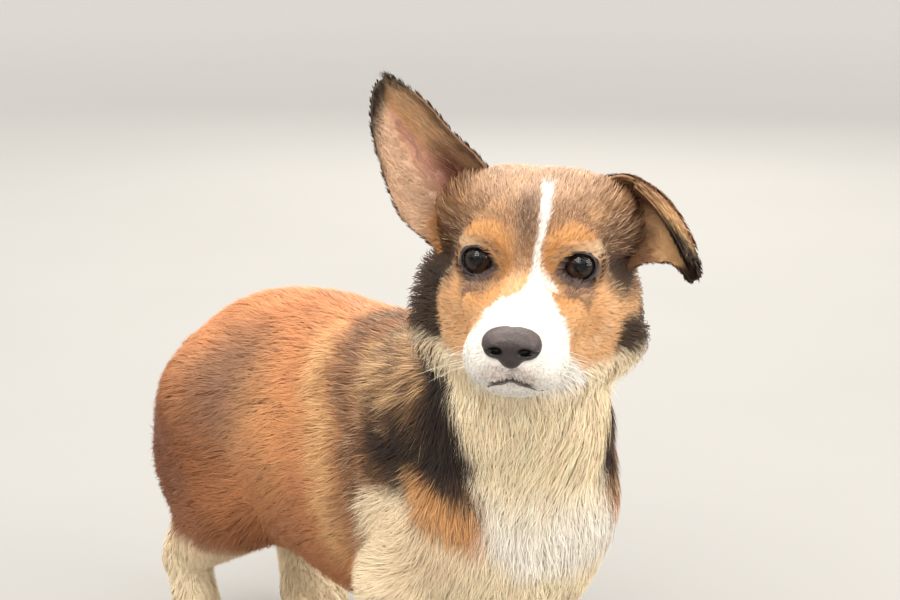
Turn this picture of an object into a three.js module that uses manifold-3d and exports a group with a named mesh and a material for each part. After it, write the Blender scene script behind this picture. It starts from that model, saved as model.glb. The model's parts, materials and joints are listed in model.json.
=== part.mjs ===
// A Pembroke Welsh corgi puppy, about four months old, as a still, life-size model.
// It stands on four paws with its head turned to its right. Its right ear stands up
// and its left ear is folded over. The solids reach out to the tips of the coat.
//
// Units are millimetres. +Z is up, the body points along -Y, and the dog's right side is -X.
// The body is modelled from the floor under its forelegs, and the exported group then moves
// it so that the origin lies on the floor under the middle of its box.

import * as THREE from 'three';
import { mergeVertices } from 'three/addons/utils/BufferGeometryUtils.js';
import Module from 'manifold-3d';

const wasm = await Module();
wasm.setup();

// Driving dimensions
const seamGap = 0.3;
const backHeight = 249;
const chestBottom = 67;
const chestHalfWidth = 73;
const bodyLength = 322;
const forelegSpread = 40;
const hindlegSpread = 43;

// The head is modelled about the point midway between its eyes, and turned and placed whole
const headPlace = new THREE.Vector3( - 50, - 78, backHeight + 51 );
const headTurn = 53;
const headNod = - 1.5;
const headTilt = 1.5;
const eyeHalfSpacing = 24.5;
const eyeRadius = 9.5;

// Plain vector arithmetic on arrays
const plus = ( a, b, s = 1 ) => [ a[ 0 ] + b[ 0 ] * s, a[ 1 ] + b[ 1 ] * s, a[ 2 ] + b[ 2 ] * s ];
const dot = ( a, b ) => a[ 0 ] * b[ 0 ] + a[ 1 ] * b[ 1 ] + a[ 2 ] * b[ 2 ];
const mirrored = ( p, side ) => [ p[ 0 ] * side, p[ 1 ], p[ 2 ] ];

// Distance fields. Each returns about how far a point lies outside a form, negative inside.
function smoothJoin( a, b, reach ) {

	const h = Math.max( reach - Math.abs( a - b ), 0 ) / reach;
	return Math.min( a, b ) - h * h * reach * 0.25;

}

function ellipsoid( p, centre, radii, pitch = 0 ) {

	const c = Math.cos( pitch * Math.PI / 180 );
	const s = Math.sin( pitch * Math.PI / 180 );
	const d = plus( p, centre, - 1 );
	const q = [ d[ 0 ], d[ 1 ] * c + d[ 2 ] * s, d[ 2 ] * c - d[ 1 ] * s ];
	const a = Math.hypot( q[ 0 ] / radii[ 0 ], q[ 1 ] / radii[ 1 ], q[ 2 ] / radii[ 2 ] );
	const b = Math.hypot( q[ 0 ] / radii[ 0 ] ** 2, q[ 1 ] / radii[ 1 ] ** 2, q[ 2 ] / radii[ 2 ] ** 2 );
	return b < 1e-9 ? - Math.min( ...radii ) : a * ( a - 1 ) / b;

}

// A limb from a to b whose radius runs from ra to rb
function limb( p, a, b, ra, rb ) {

	const along = plus( b, a, - 1 );
	const t = THREE.MathUtils.clamp( dot( plus( p, a, - 1 ), along ) / dot( along, along ), 0, 1 );
	const near = plus( a, along, t );
	return Math.hypot( ...plus( p, near, - 1 ) ) - ( ra + ( rb - ra ) * t );

}

// Sizes of the trunk. Each mass is an ellipsoid at a centre.
const chestDepth = backHeight - chestBottom;
const chestMiddle = ( backHeight + chestBottom ) / 2;
const rumpEnd = bodyLength - 72;
const trunk = {
	ribs: { at: [ 0, 74, chestMiddle ], radii: [ chestHalfWidth, 98, chestDepth / 2 ], pitch: 0 },
	withers: { at: [ 0, 18, chestMiddle + 30 ], radii: [ 52, 60, chestDepth / 2 - 34 ], pitch: 0 },
	forechest: { at: [ 0, - 18, chestMiddle - 14 ], radii: [ 58, 54, 69 ], pitch: 10 },
	belly: { at: [ 0, 152, chestMiddle + 1 ], radii: [ 69, 80, 79 ], pitch: 0 },
	croup: { at: [ 0, rumpEnd - 60, chestMiddle - 4 ], radii: [ 58, 58, 67 ], pitch: - 4 },
};

function trunkField( p ) {

	let d = Infinity;
	for ( const mass of Object.values( trunk ) ) {

		d = smoothJoin( d, ellipsoid( p, mass.at, mass.radii, mass.pitch ), 26 );

	}

	return d;

}

// Joints of a foreleg and a hind leg on the dog's left side, with the coat's radius at each
const foreleg = {
	shoulder: [ 41, - 16, 158 ],
	elbow: [ 46, 20, 104 ],
	wrist: [ forelegSpread, 9, 44 ],
	foot: [ forelegSpread, 2, 18 ],
	radii: { shoulder: 30, elbow: 24, wrist: 16.5, foot: 15.5 },
};
const hindleg = {
	hip: [ 38, rumpEnd - 62, 170 ],
	stifle: [ 46, rumpEnd - 86, 114 ],
	hock: [ hindlegSpread, rumpEnd - 26, 60 ],
	foot: [ hindlegSpread, rumpEnd - 38, 18 ],
	radii: { hip: 40, stifle: 28, hock: 15, foot: 15 },
};
const thigh = { at: [ 40, rumpEnd - 50, 131 ], radii: [ 28, 47, 52 ] };

function forelegField( p, side ) {

	const q = mirrored( p, side );
	const { shoulder, elbow, wrist, foot, radii } = foreleg;
	let d = limb( q, shoulder, elbow, radii.shoulder, radii.elbow );
	d = smoothJoin( d, limb( q, elbow, wrist, radii.elbow, radii.wrist ), 14 );
	return smoothJoin( d, limb( q, wrist, foot, radii.wrist, radii.foot ), 10 );

}

function hindlegField( p, side ) {

	const q = mirrored( p, side );
	const { hip, stifle, hock, foot, radii } = hindleg;
	let d = limb( q, hip, stifle, radii.hip, radii.stifle );
	d = smoothJoin( d, ellipsoid( q, thigh.at, thigh.radii ), 20 );
	d = smoothJoin( d, limb( q, stifle, hock, radii.stifle, radii.hock ), 16 );
	return smoothJoin( d, limb( q, hock, foot, radii.hock, radii.foot ), 8 );

}

// A paw about the middle of its leg's foot: a pad, four toes and the place of each claw
const paw = {
	reach: - 13,
	pad: { at: [ 0, 3, 13 ], radii: [ 17, 19, 15 ] },
	toes: [ [ - 15, 0 ], [ - 5.4, - 6 ], [ 5.4, - 6 ], [ 15, 0 ] ],
	toe: { at: [ 0, - 7, 9.5 ], radii: [ 6.9, 12.5, 10.5 ] },
};

function pawField( p, foot, side ) {

	const q = plus( mirrored( p, side ), [ foot[ 0 ], foot[ 1 ] + paw.reach + 7, 0 ], - 1 );
	let d = ellipsoid( q, paw.pad.at, paw.pad.radii );
	for ( const [ across, ahead ] of paw.toes ) {

		const at = plus( paw.toe.at, [ across, ahead, 0 ] );
		d = smoothJoin( d, ellipsoid( q, at, paw.toe.radii ), 4 );

	}

	return d;

}

// The stub of a tail
const tail = {
	root: [ 0, rumpEnd - 16, chestMiddle + 28 ],
	tip: [ 0, rumpEnd + 20, chestMiddle + 22 ],
	rootRadius: 19,
	tipRadius: 10,
};

const tailField = ( p ) => limb( p, tail.root, tail.tip, tail.rootRadius, tail.tipRadius );

// The head's own frame
const headMatrix = new THREE.Matrix4().makeRotationFromEuler( new THREE.Euler(
	THREE.MathUtils.degToRad( headNod ),
	THREE.MathUtils.degToRad( headTilt ),
	THREE.MathUtils.degToRad( - headTurn ), 'ZXY' ) ).setPosition( headPlace );
const headInverse = headMatrix.clone().invert();
const toHead = ( p ) => new THREE.Vector3( ...p ).applyMatrix4( headInverse ).toArray();
const fromHead = ( p ) => new THREE.Vector3( ...p ).applyMatrix4( headMatrix ).toArray();

// Sizes of the head in its own frame: the muzzle points along -Y
const skull = {
	cranium: { at: [ 0, 40, 4 ], radii: [ 45, 47, 37 ] },
	forehead: { at: [ 0, 14, 6 ], radii: [ 31, 27, 27 ] },
	cheek: { at: [ 32, 34, - 22 ], radii: [ 20, 34, 27 ] },
	underEye: { at: [ 16, - 6, - 20 ], radii: [ 17, 26, 18 ] },
	brow: { at: [ 17, 2, 12 ], radii: [ 13, 10, 8 ] },
	muzzle: { at: [ 0, - 30, - 33 ], radii: [ 23, 33, 18 ] },
	jaw: { at: [ 0, 12, - 41 ], radii: [ 29, 50, 16 ] },
	flew: { at: [ 11, - 44, - 38 ], radii: [ 13.5, 16, 13 ] },
	chin: { at: [ 0, - 39, - 48 ], radii: [ 12, 14, 7 ] },
	crown: { at: [ 19, 33, 20 ], radii: [ 23, 25, 21 ] },
	earRoot: { at: [ 33, 38, 13 ], radii: [ 14, 15, 18 ] },
};
const bridge = { root: [ 0, - 2, - 5 ], tip: [ 0, - 51, - 25 ], rootRadius: 14, tipRadius: 11 };

function headField( h ) {

	const q = [ Math.abs( h[ 0 ] ), h[ 1 ], h[ 2 ] ];
	let d = limb( q, bridge.root, bridge.tip, bridge.rootRadius, bridge.tipRadius );
	for ( const mass of Object.values( skull ) )
		d = smoothJoin( d, ellipsoid( q, mass.at, mass.radii ), 10 );

	return d;

}

// The neck runs from the shoulders to the back of the skull, with the ruff below the jaws
// and a collar of longer hair behind the cheeks
const neck = { root: [ 0, 8, 178 ], top: fromHead( [ 0, 46, - 26 ] ), rootRadius: 60, topRadius: 50 };
const ruff = { root: [ - 2, - 28, 160 ], top: fromHead( [ 0, 24, - 58 ] ), rootRadius: 46, topRadius: 41 };
const collar = { at: [ 0, 38, - 44 ], radii: [ 53, 26, 30 ] };

function neckField( p ) {

	const nape = limb( p, neck.root, neck.top, neck.rootRadius, neck.topRadius );
	const throat = limb( p, ruff.root, ruff.top, ruff.rootRadius, ruff.topRadius );
	const both = smoothJoin( nape, throat, 20 );
	return smoothJoin( both, ellipsoid( toHead( p ), collar.at, collar.radii ), 16 );

}

// The whole body in one field
function bodyField( p ) {

	let d = trunkField( p );
	d = smoothJoin( d, neckField( p ), 26 );
	d = smoothJoin( d, headField( toHead( p ) ), 12 );
	d = smoothJoin( d, tailField( p ), 10 );
	for ( const side of [ - 1, 1 ] ) {

		d = smoothJoin( d, forelegField( p, side ), 12 );
		d = smoothJoin( d, hindlegField( p, side ), 14 );
		d = smoothJoin( d, pawField( p, foreleg.foot, side ), 9 );
		d = smoothJoin( d, pawField( p, hindleg.foot, side ), 9 );

	}

	return d;

}

// A mesh of a field's zero surface inside a box, by surface nets whose points are then moved
// on to the surface and spread evenly over it
function netGeometry( field, low, high, cell ) {

	const counts = low.map( ( v, i ) => Math.ceil( ( high[ i ] - v ) / cell ) + 3 );
	const start = low.map( ( v ) => v - cell );
	const outside = ( v, i ) => Math.max( low[ i ] - v, v - high[ i ] );
	const boxed = ( p ) => Math.max( field( p ), ...p.map( outside ) );
	const at = ( i, j, k ) => ( k * counts[ 1 ] + j ) * counts[ 0 ] + i;
	const place = ( i, j, k ) => [ start[ 0 ] + i * cell, start[ 1 ] + j * cell, start[ 2 ] + k * cell ];
	const values = new Float64Array( counts[ 0 ] * counts[ 1 ] * counts[ 2 ] );
	for ( let k = 0; k < counts[ 2 ]; k ++ )
		for ( let j = 0; j < counts[ 1 ]; j ++ )
			for ( let i = 0; i < counts[ 0 ]; i ++ )
				values[ at( i, j, k ) ] = boxed( place( i, j, k ) );

	// One point in each cell that the surface crosses, at the mean of its edges' crossings
	const points = [];
	const pointOf = new Map();
	const corners = [ 0, 1, 2, 3, 4, 5, 6, 7 ].map( ( n ) => [ n & 1, ( n >> 1 ) & 1, n >> 2 ] );
	for ( let k = 0; k < counts[ 2 ] - 1; k ++ )
		for ( let j = 0; j < counts[ 1 ] - 1; j ++ )
			for ( let i = 0; i < counts[ 0 ] - 1; i ++ ) {

				const v = corners.map( ( c ) => values[ at( i + c[ 0 ], j + c[ 1 ], k + c[ 2 ] ) ] );
				if ( v.every( ( x ) => x < 0 ) || v.every( ( x ) => x >= 0 ) ) continue;
				let sum = [ 0, 0, 0 ];
				let crossings = 0;
				for ( let a = 0; a < 8; a ++ )
					for ( let axis = 0; axis < 3; axis ++ ) {

						const b = a | ( 1 << axis );
						if ( b === a || v[ a ] < 0 === v[ b ] < 0 ) continue;
						const t = v[ a ] / ( v[ a ] - v[ b ] );
						const crossing = [ ...corners[ a ] ];
						crossing[ axis ] += t;
						sum = plus( sum, crossing );
						crossings ++;

					}

				pointOf.set( at( i, j, k ), points.length );
				points.push( plus( place( i, j, k ), sum, cell / crossings ) );

			}

	// Two triangles round each grid edge that the surface crosses
	const triangles = [];
	const steps = [ [ 1, 0, 0 ], [ 0, 1, 0 ], [ 0, 0, 1 ] ];
	for ( let k = 1; k < counts[ 2 ] - 1; k ++ )
		for ( let j = 1; j < counts[ 1 ] - 1; j ++ )
			for ( let i = 1; i < counts[ 0 ] - 1; i ++ )
				for ( let axis = 0; axis < 3; axis ++ ) {

					const s = steps[ axis ];
					const here = values[ at( i, j, k ) ] < 0;
					const there = values[ at( i + s[ 0 ], j + s[ 1 ], k + s[ 2 ] ) ] < 0;
					if ( here === there ) continue;
					const u = steps[ ( axis + 1 ) % 3 ];
					const w = steps[ ( axis + 2 ) % 3 ];
					const ring = [ [ 0, 0 ], [ 1, 0 ], [ 1, 1 ], [ 0, 1 ] ].map( ( [ a, b ] ) => pointOf.get(
						at( i - a * u[ 0 ] - b * w[ 0 ], j - a * u[ 1 ] - b * w[ 1 ], k - a * u[ 2 ] - b * w[ 2 ] ) ) );
					if ( there ) ring.reverse();
					triangles.push( [ ring[ 0 ], ring[ 1 ], ring[ 2 ] ], [ ring[ 0 ], ring[ 2 ], ring[ 3 ] ] );

				}

	const neighbours = points.map( () => new Set() );
	for ( const [ a, b, c ] of triangles ) {

		neighbours[ a ].add( b ).add( c );
		neighbours[ b ].add( a ).add( c );
		neighbours[ c ].add( a ).add( b );

	}

	for ( let round = 0; round < 3; round ++ ) {

		const means = points.map( ( p, n ) => {

			let mean = [ 0, 0, 0 ];
			for ( const m of neighbours[ n ] ) mean = plus( mean, points[ m ], 1 / neighbours[ n ].size );
			return plus( p, plus( mean, p, - 1 ), 0.5 );

		} );
		means.forEach( ( p, n ) => points[ n ] = ontoSurface( boxed, p, cell ) );

	}

	const geometry = new THREE.BufferGeometry();
	geometry.setAttribute( 'position', new THREE.BufferAttribute( new Float32Array( points.flat() ), 3 ) );
	geometry.setIndex( triangles.flat() );
	return geometry;

}

// The nearest point of a field's zero surface, by a few short steps down its slope
function ontoSurface( field, p, cell ) {

	const probe = 0.05;
	let q = p;
	for ( let step = 0; step < 3; step ++ ) {

		const d = field( q );
		const probes = [ [ probe, 0, 0 ], [ 0, probe, 0 ], [ 0, 0, probe ] ];
		const slope = probes.map( ( e ) => ( field( plus( q, e ) ) - d ) / probe );
		const steepness = Math.max( dot( slope, slope ), 0.2 );
		q = plus( q, slope, - THREE.MathUtils.clamp( d, - cell, cell ) / steepness );

	}

	return q;

}

// A closed geometry as a solid that can be joined and cut, and the way back
function solidOf( geometry ) {

	const bare = geometry.index ? geometry.toNonIndexed() : geometry.clone();
	const loose = new THREE.BufferGeometry().setAttribute( 'position', bare.getAttribute( 'position' ) );
	const merged = mergeVertices( loose, 1e-3 );
	return new wasm.Manifold( new wasm.Mesh( {
		numProp: 3,
		vertProperties: merged.attributes.position.array,
		triVerts: new Uint32Array( merged.index.array ),
	} ) );

}

// Its geometry, with the tiny edges that cuts leave closed up. An edge closes only where its two
// ends share just the two corners across from it, so that the surface isn't pinched.
function geometryOf( solid ) {

	const tiny = 0.08;
	const mesh = solid.getMesh();
	const points = [];
	for ( let n = 0; n < mesh.vertProperties.length; n += 3 )
		points.push( Array.from( mesh.vertProperties.slice( n, n + 3 ) ) );

	let faces = [];
	for ( let n = 0; n < mesh.triVerts.length; n += 3 )
		faces.push( Array.from( mesh.triVerts.slice( n, n + 3 ) ) );

	const beside = points.map( () => new Set() );
	for ( const [ a, b, c ] of faces ) {

		beside[ a ].add( b ).add( c );
		beside[ b ].add( a ).add( c );
		beside[ c ].add( a ).add( b );

	}

	const home = points.map( ( p, n ) => n );
	const find = ( n ) => home[ n ] === n ? n : find( home[ n ] );
	let closed = true;
	while ( closed ) {

		closed = false;
		for ( let a = 0; a < points.length; a ++ ) {

			const farFrom = ( n ) => Math.hypot( ...plus( points[ a ], points[ n ], - 1 ) );
			const b = [ ...beside[ a ] ].find( ( n ) => farFrom( n ) < tiny );
			if ( b === undefined ) continue;
			const shared = [ ...beside[ a ] ].filter( ( n ) => beside[ b ].has( n ) );
			if ( shared.length !== 2 ) continue;
			home[ b ] = a;
			for ( const n of beside[ b ] ) {

				beside[ n ].delete( b );
				if ( n !== a ) beside[ n ].add( a );
				if ( n !== a ) beside[ a ].add( n );

			}

			beside[ b ].clear();
			closed = true;

		}

	}

	faces = faces.map( ( face ) => face.map( find ) );
	faces = faces.filter( ( [ a, b, c ] ) => a !== b && b !== c && c !== a );
	partTouching( points, faces );
	const geometry = new THREE.BufferGeometry();
	geometry.setAttribute( 'position', new THREE.BufferAttribute( new Float32Array( points.flat() ), 3 ) );
	geometry.setIndex( faces.flat() );
	const used = mergeVertices( geometry.toNonIndexed(), 1e-4 );
	used.computeVertexNormals();
	return used;

}

// Where two corners of a surface touch without being joined, each draws back a little into the solid
function partTouching( points, faces ) {

	const ways = new Map();
	for ( const face of faces ) {

		const [ a, b, c ] = face.map( ( n ) => new THREE.Vector3( ...points[ n ] ) );
		const out = b.sub( a ).cross( c.sub( a ) );
		for ( const n of face ) ways.set( n, out.clone().add( ways.get( n ) ?? new THREE.Vector3() ) );

	}

	const places = new Map();
	for ( const n of ways.keys() ) {

		const key = points[ n ].map( ( v ) => v.toFixed( 3 ) ).join();
		places.set( key, [ ...( places.get( key ) ?? [] ), n ] );

	}

	for ( const touching of places.values() ) {

		if ( touching.length < 2 ) continue;
		for ( const n of touching )
			points[ n ] = plus( points[ n ], ways.get( n ).normalize().toArray(), - 0.03 );


	}

}

const largest = ( solid ) => solid.decompose().sort( ( a, b ) => b.volume() - a.volume() )[ 0 ];

// All that lies past a plane, as a large box that starts half a seam short of it
function beyond( point, normal ) {

	const side = 700;
	const geometry = new THREE.BoxGeometry( side, side, side ).translate( 0, 0, ( side - seamGap ) / 2 );
	const up = new THREE.Vector3( 0, 0, 1 );
	const out = new THREE.Vector3( ...normal ).normalize();
	geometry.applyQuaternion( new THREE.Quaternion().setFromUnitVectors( up, out ) );
	return solidOf( geometry.translate( ...point ) );

}

const opposite = ( normal ) => normal.map( ( v ) => - v );

// A ball stretched to three radii, turned about X and placed
function ballSolid( centre, radii, pitch = 0, grow = 0, around = 14 ) {

	const geometry = new THREE.SphereGeometry( 1, around, around / 2 );
	geometry.scale( ...radii.map( ( r ) => r + grow ) ).rotateX( THREE.MathUtils.degToRad( pitch ) );
	return solidOf( geometry.translate( ...centre ) );

}

function postSolid( centre, radius, bottom, top, grow = 0 ) {

	const geometry = new THREE.CylinderGeometry( radius + grow, radius + grow, top - bottom + 2 * grow, 16 );
	geometry.rotateX( Math.PI / 2 ).translate( centre[ 0 ], centre[ 1 ], ( top + bottom ) / 2 );
	return solidOf( geometry );

}

// What belongs to each leg: a dome round its upper part and a post round the rest
const legDomes = {
	foreleg: {
		at: [ 60, - 2, 138 ], radii: [ 36, 44, 62 ], pitch: 30,
		post: [ forelegSpread, 8 ], postRadius: 34,
	},
	hindleg: {
		at: [ 58, rumpEnd - 60, 142 ], radii: [ 40, 50, 64 ], pitch: 0,
		post: [ hindlegSpread, rumpEnd - 42 ], postRadius: 44,
	},
};

function legSeat( kind, side, grow = 0 ) {

	const dome = legDomes[ kind ];
	const post = postSolid( mirrored( [ ...dome.post, 0 ], side ), dome.postRadius, - 10, 96, grow );
	return ballSolid( mirrored( dome.at, side ), dome.radii, dome.pitch, grow ).add( post );

}

// The same draw of numbers on every run
let drawState = 20;
function draw( low, high ) {

	drawState = ( drawState * 1664525 + 1013904223 ) % 4294967296;
	return low + ( high - low ) * drawState / 4294967296;

}

// The way out of the body at a point, and the way its hair lies: back and down, along the surface
function outward( p ) {

	const e = 0.5;
	const rise = ( v ) => bodyField( plus( p, v ) ) - bodyField( plus( p, v, - 1 ) );
	return new THREE.Vector3( rise( [ e, 0, 0 ] ), rise( [ 0, e, 0 ] ), rise( [ 0, 0, e ] ) ).normalize();

}

function lieOfCoat( normal ) {

	return new THREE.Vector3( 0, 0.6 + 0.4 * normal.z, - 1 ).projectOnPlane( normal ).normalize();

}

// Long hair stands in flat tapered locks. A row of them is a ring of roots round a point inside
// the body. Front is angle 0, and tilt lowers the front of the ring.
const lockSizes = {
	ruff: { length: 44, width: 24, thickness: 5, lift: 10 },
	nape: { length: 36, width: 22, thickness: 5, lift: 5 },
	bib: { length: 50, width: 23, thickness: 5, lift: 1.5 },
	britches: { length: 38, width: 21, thickness: 5, lift: 3.5 },
};
const lockRows = [
	{ size: 'ruff', at: [ - 22, - 46, 268 ], tilt: 38, from: - 136, to: 122, count: 11 },
	{ size: 'ruff', at: [ - 12, - 34, 246 ], tilt: 32, from: - 118, to: 110, count: 9 },
	{ size: 'bib', at: [ - 4, - 22, 220 ], tilt: 28, from: - 82, to: 66, count: 5 },
	{ size: 'nape', at: [ - 12, - 34, 250 ], tilt: 38, from: 140, to: 220, count: 3 },
	{ size: 'bib', at: [ 0, - 10, 190 ], tilt: 16, from: - 50, to: 42, count: 5 },
	{ size: 'bib', at: [ 0, - 6, 156 ], tilt: 10, from: - 42, to: 30, count: 4 },
	{ size: 'bib', at: [ 0, 0, 124 ], tilt: 18, from: - 30, to: 30, count: 3 },
	{ size: 'britches', at: [ 0, 190, 176 ], tilt: 0, from: 128, to: 232, count: 6 },
	{ size: 'britches', at: [ 0, 196, 150 ], tilt: 0, from: 120, to: 240, count: 7 },
	{ size: 'britches', at: [ 0, 200, 122 ], tilt: 0, from: 116, to: 244, count: 6 },
];

// The middle line of a lock and the directions across and out of it
function lockFrames( row, angle ) {

	const size = lockSizes[ row.size ];
	const a = THREE.MathUtils.degToRad( angle );
	const t = THREE.MathUtils.degToRad( row.tilt );
	const way = [ Math.sin( a ), - Math.cos( a ) * Math.cos( t ), - Math.cos( a ) * Math.sin( t ) ];
	let p = row.at;
	for ( let step = 0; step < 30; step ++ ) p = plus( p, way, - bodyField( p ) );
	const root = p;
	const length = size.length * draw( 0.85, 1.15 );
	const bend = draw( - 0.3, 0.3 );
	const lift = size.lift * draw( 0.7, 1.3 );
	const width = size.width * draw( 0.85, 1.15 );
	const frames = [];
	const heights = [ - 5, 1, 1 + 0.6 * lift, 1 + lift ];
	const widths = [ 0.75, 1, 0.8, 0.12 ];
	for ( const [ n, height ] of heights.entries() ) {

		const normal = outward( p );
		const along = lieOfCoat( normal ).applyAxisAngle( normal, bend * n / 2 );
		const across = along.clone().cross( normal );
		frames.push( {
			middle: new THREE.Vector3( ...p ).addScaledVector( normal, height ),
			across, normal,
			width: width * widths[ n ],
			thickness: size.thickness * ( n < 3 ? 1 - 0.18 * n : 0.22 ),
			along,
		} );
		p = ontoSurface( bodyField, plus( p, along.toArray(), length / 3 ), 12 );

	}

	return { root, frames };

}

// A lock as a solid of four rings of four corners, larger all round by a margin
function lockSolid( frames, grow = 0 ) {

	const positions = [];
	const triangles = [];
	const last = frames.length - 1;
	frames.forEach( ( f, n ) => {

		const end = n === 0 ? - grow : n === last ? grow : 0;
		const middle = f.middle.clone().addScaledVector( f.along, end );
		const half = f.width / 2 + 1.5 * grow;
		const thick = f.thickness / 2 + 1.2 * grow;
		for ( const [ a, b ] of [ [ - half, 0 ], [ 0, - thick ], [ half, 0 ], [ 0, thick ] ] ) {

			const corner = middle.clone().addScaledVector( f.across, a ).addScaledVector( f.normal, b );
			positions.push( ...corner.toArray() );

		}

	} );
	for ( let n = 0; n < last; n ++ )
		for ( let k = 0; k < 4; k ++ ) {

			const a = n * 4 + k;
			const b = n * 4 + ( k + 1 ) % 4;
			triangles.push( a, b, b + 4, a, b + 4, a + 4 );

		}

	const end = last * 4;
	triangles.push( 0, 2, 1, 0, 3, 2, end, end + 1, end + 2, end, end + 2, end + 3 );
	const geometry = new THREE.BufferGeometry();
	geometry.setAttribute( 'position', new THREE.BufferAttribute( new Float32Array( positions ), 3 ) );
	geometry.setIndex( triangles );
	const solid = solidOf( geometry );
	if ( solid.volume() > 0 ) return solid;
	geometry.setIndex( triangles.reverse() );
	return solidOf( geometry );

}

// Materials
const materials = {
	white: new THREE.MeshStandardMaterial( { color: 0xe9dcc4, roughness: 0.9 } ),
	sable: new THREE.MeshStandardMaterial( { color: 0xa8693c, roughness: 0.9 } ),
	red: new THREE.MeshStandardMaterial( { color: 0xb9703f, roughness: 0.9 } ),
	nose: new THREE.MeshStandardMaterial( { color: 0x2b2526, roughness: 0.45 } ),
	eye: new THREE.MeshStandardMaterial( { color: 0x1c1411, roughness: 0.08 } ),
	claw: new THREE.MeshStandardMaterial( { color: 0x3a2f2b, roughness: 0.5 } ),
};

const dog = new THREE.Group();
const headGroup = new THREE.Group();
headGroup.applyMatrix4( headMatrix );
dog.add( headGroup );

function addNode( group, name, solid, material ) {

	const mesh = new THREE.Mesh( geometryOf( largest( solid ) ), material );
	mesh.name = name;
	group.add( mesh );
	return mesh;

}

// Seams of the trunk and neck
const seams = {
	neckRoot: { at: [ 0, - 22, 198 ], normal: [ - 0.2, - 0.45, 0.87 ] },
	neckTop: { at: fromHead( [ 0, 42, - 34 ] ), normal: [ - 0.38, - 0.4, 0.83 ] },
	chestBack: { at: [ 0, 58, 0 ], normal: [ 0, 1, 0 ] },
	loin: { at: [ 0, 148, 0 ], normal: [ 0, 1, 0 ] },
	tailRoot: { at: [ 0, rumpEnd + 5, 0 ], normal: [ 0, 1, 0 ] },
	wrist: { at: [ 0, 0, 36 ], normal: [ 0, 0, 1 ] },
	floor: { at: [ 0, 0, - seamGap / 2 ], normal: [ 0, 0, 1 ] },
};

const between = ( solid, from, to ) => {

	let cut = solid;
	if ( from ) cut = cut.subtract( beyond( from.at, opposite( from.normal ) ) );
	if ( to ) cut = cut.subtract( beyond( to.at, to.normal ) );
	return cut;

};

const withoutLegs = ( solid, kinds ) => kinds.reduce( ( rest, kind ) =>
	rest.subtract( legSeat( kind, - 1, seamGap ) ).subtract( legSeat( kind, 1, seamGap ) ), solid );

// Trunk, tail and neck
const trunkNet = solidOf( netGeometry( bodyField, [ - 90, - 90, 55 ], [ 90, 280, 262 ], 18.4 ) );
const trunkSolid = withoutLegs( trunkNet, [ 'foreleg', 'hindleg' ] );
const chestRegion = between( trunkSolid, null, seams.chestBack );
const cores = {
	chest: between( chestRegion, null, seams.neckRoot ),
	barrel: between( trunkSolid, seams.chestBack, seams.loin ),
	rump: between( trunkSolid, seams.loin, seams.tailRoot ),
};
const tailSolid = solidOf(
	netGeometry( bodyField, [ - 30, rumpEnd - 20, 150 ], [ 30, rumpEnd + 44, 215 ], 7.5 ) );
cores.tail = between( tailSolid, seams.tailRoot, null );
const neckSolid = withoutLegs(
	solidOf( netGeometry( bodyField, [ - 130, - 140, 130 ], [ 90, 80, 310 ], 15.9 ) ), [ 'foreleg' ] );
cores.neck = between( between( neckSolid, seams.neckRoot, seams.neckTop ), null, seams.chestBack );

// A claw is a bent cone with its root sunk in the toe. Its seat in the toe is a little larger.
const claw = { length: 8.5, radius: 2.3, tip: 0.5, drop: 2.6, root: [ 0, - 13, 8.5 ] };

function clawSolid( root, grow = 0 ) {

	const geometry = new THREE.CylinderGeometry(
		claw.radius + grow, claw.tip + grow, claw.length + 2 * grow, 5, 2 );
	geometry.translate( 0, - claw.length / 2, 0 );
	const position = geometry.attributes.position;
	for ( let n = 0; n < position.count; n ++ ) {

		const out = - position.getY( n ) / claw.length;
		position.setZ( n, position.getZ( n ) - claw.drop * out * Math.abs( out ) );

	}

	return solidOf( geometry.translate( ...root ) );

}

// Legs, each with its paw and claws
const legs = { foreleg: { joints: foreleg, back: 62 }, hindleg: { joints: hindleg, back: 60 } };
for ( const [ kind, { joints } ] of Object.entries( legs ) )
	for ( const side of [ - 1, 1 ] ) {

		const sideName = side < 0 ? 'right' : 'left';
		const foot = joints.foot;
		const inner = side < 0 ? - 95 : 4;
		const low = [ inner, foot[ 1 ] - 70, 20 ];
		const high = [ inner + 91, foot[ 1 ] + 72, 222 ];
		const upper = solidOf( netGeometry( bodyField, low, high, 14 ) ).intersect( legSeat( kind, side ) );
		cores[ kind + '_' + sideName ] = between( upper, seams.wrist, null );
		const middle = side * foot[ 0 ];
		let pawSolid = solidOf( netGeometry( bodyField,
			[ middle - 30, foot[ 1 ] - 48, - 6 ], [ middle + 30, foot[ 1 ] + 34, 46 ], 7 ) );
		pawSolid = between( pawSolid, seams.floor, seams.wrist );
		for ( const [ n, [ across, ahead ] ] of paw.toes.entries() ) {

			const ball = [ side * ( foot[ 0 ] + across ), foot[ 1 ] + paw.reach + ahead, 0 ];
			const root = plus( ball, claw.root );
			pawSolid = pawSolid.subtract( clawSolid( root, seamGap ) );
			addNode( dog, 'claw_' + kind + '_' + sideName + '_' + ( n + 1 ), clawSolid( root ), materials.claw );

		}

		addNode( dog, 'paw_' + kind + '_' + sideName, pawSolid, materials.white );

	}

// The node that a point of the surface belongs to
function ownerOf( p ) {

	const sideName = p[ 0 ] < 0 ? 'right' : 'left';
	const past = ( seam ) => dot( plus( p, seam.at, - 1 ), seam.normal ) > 0;
	const q = [ Math.abs( p[ 0 ] ), p[ 1 ], p[ 2 ] ];
	for ( const [ kind, dome ] of Object.entries( legDomes ) )
		if ( ellipsoid( q, dome.at, dome.radii, dome.pitch ) < 0 ) return kind + '_' + sideName;

	if ( past( seams.loin ) ) return 'rump';
	if ( past( seams.chestBack ) ) return 'barrel';
	return past( seams.neckRoot ) ? 'neck' : 'chest';

}

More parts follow.
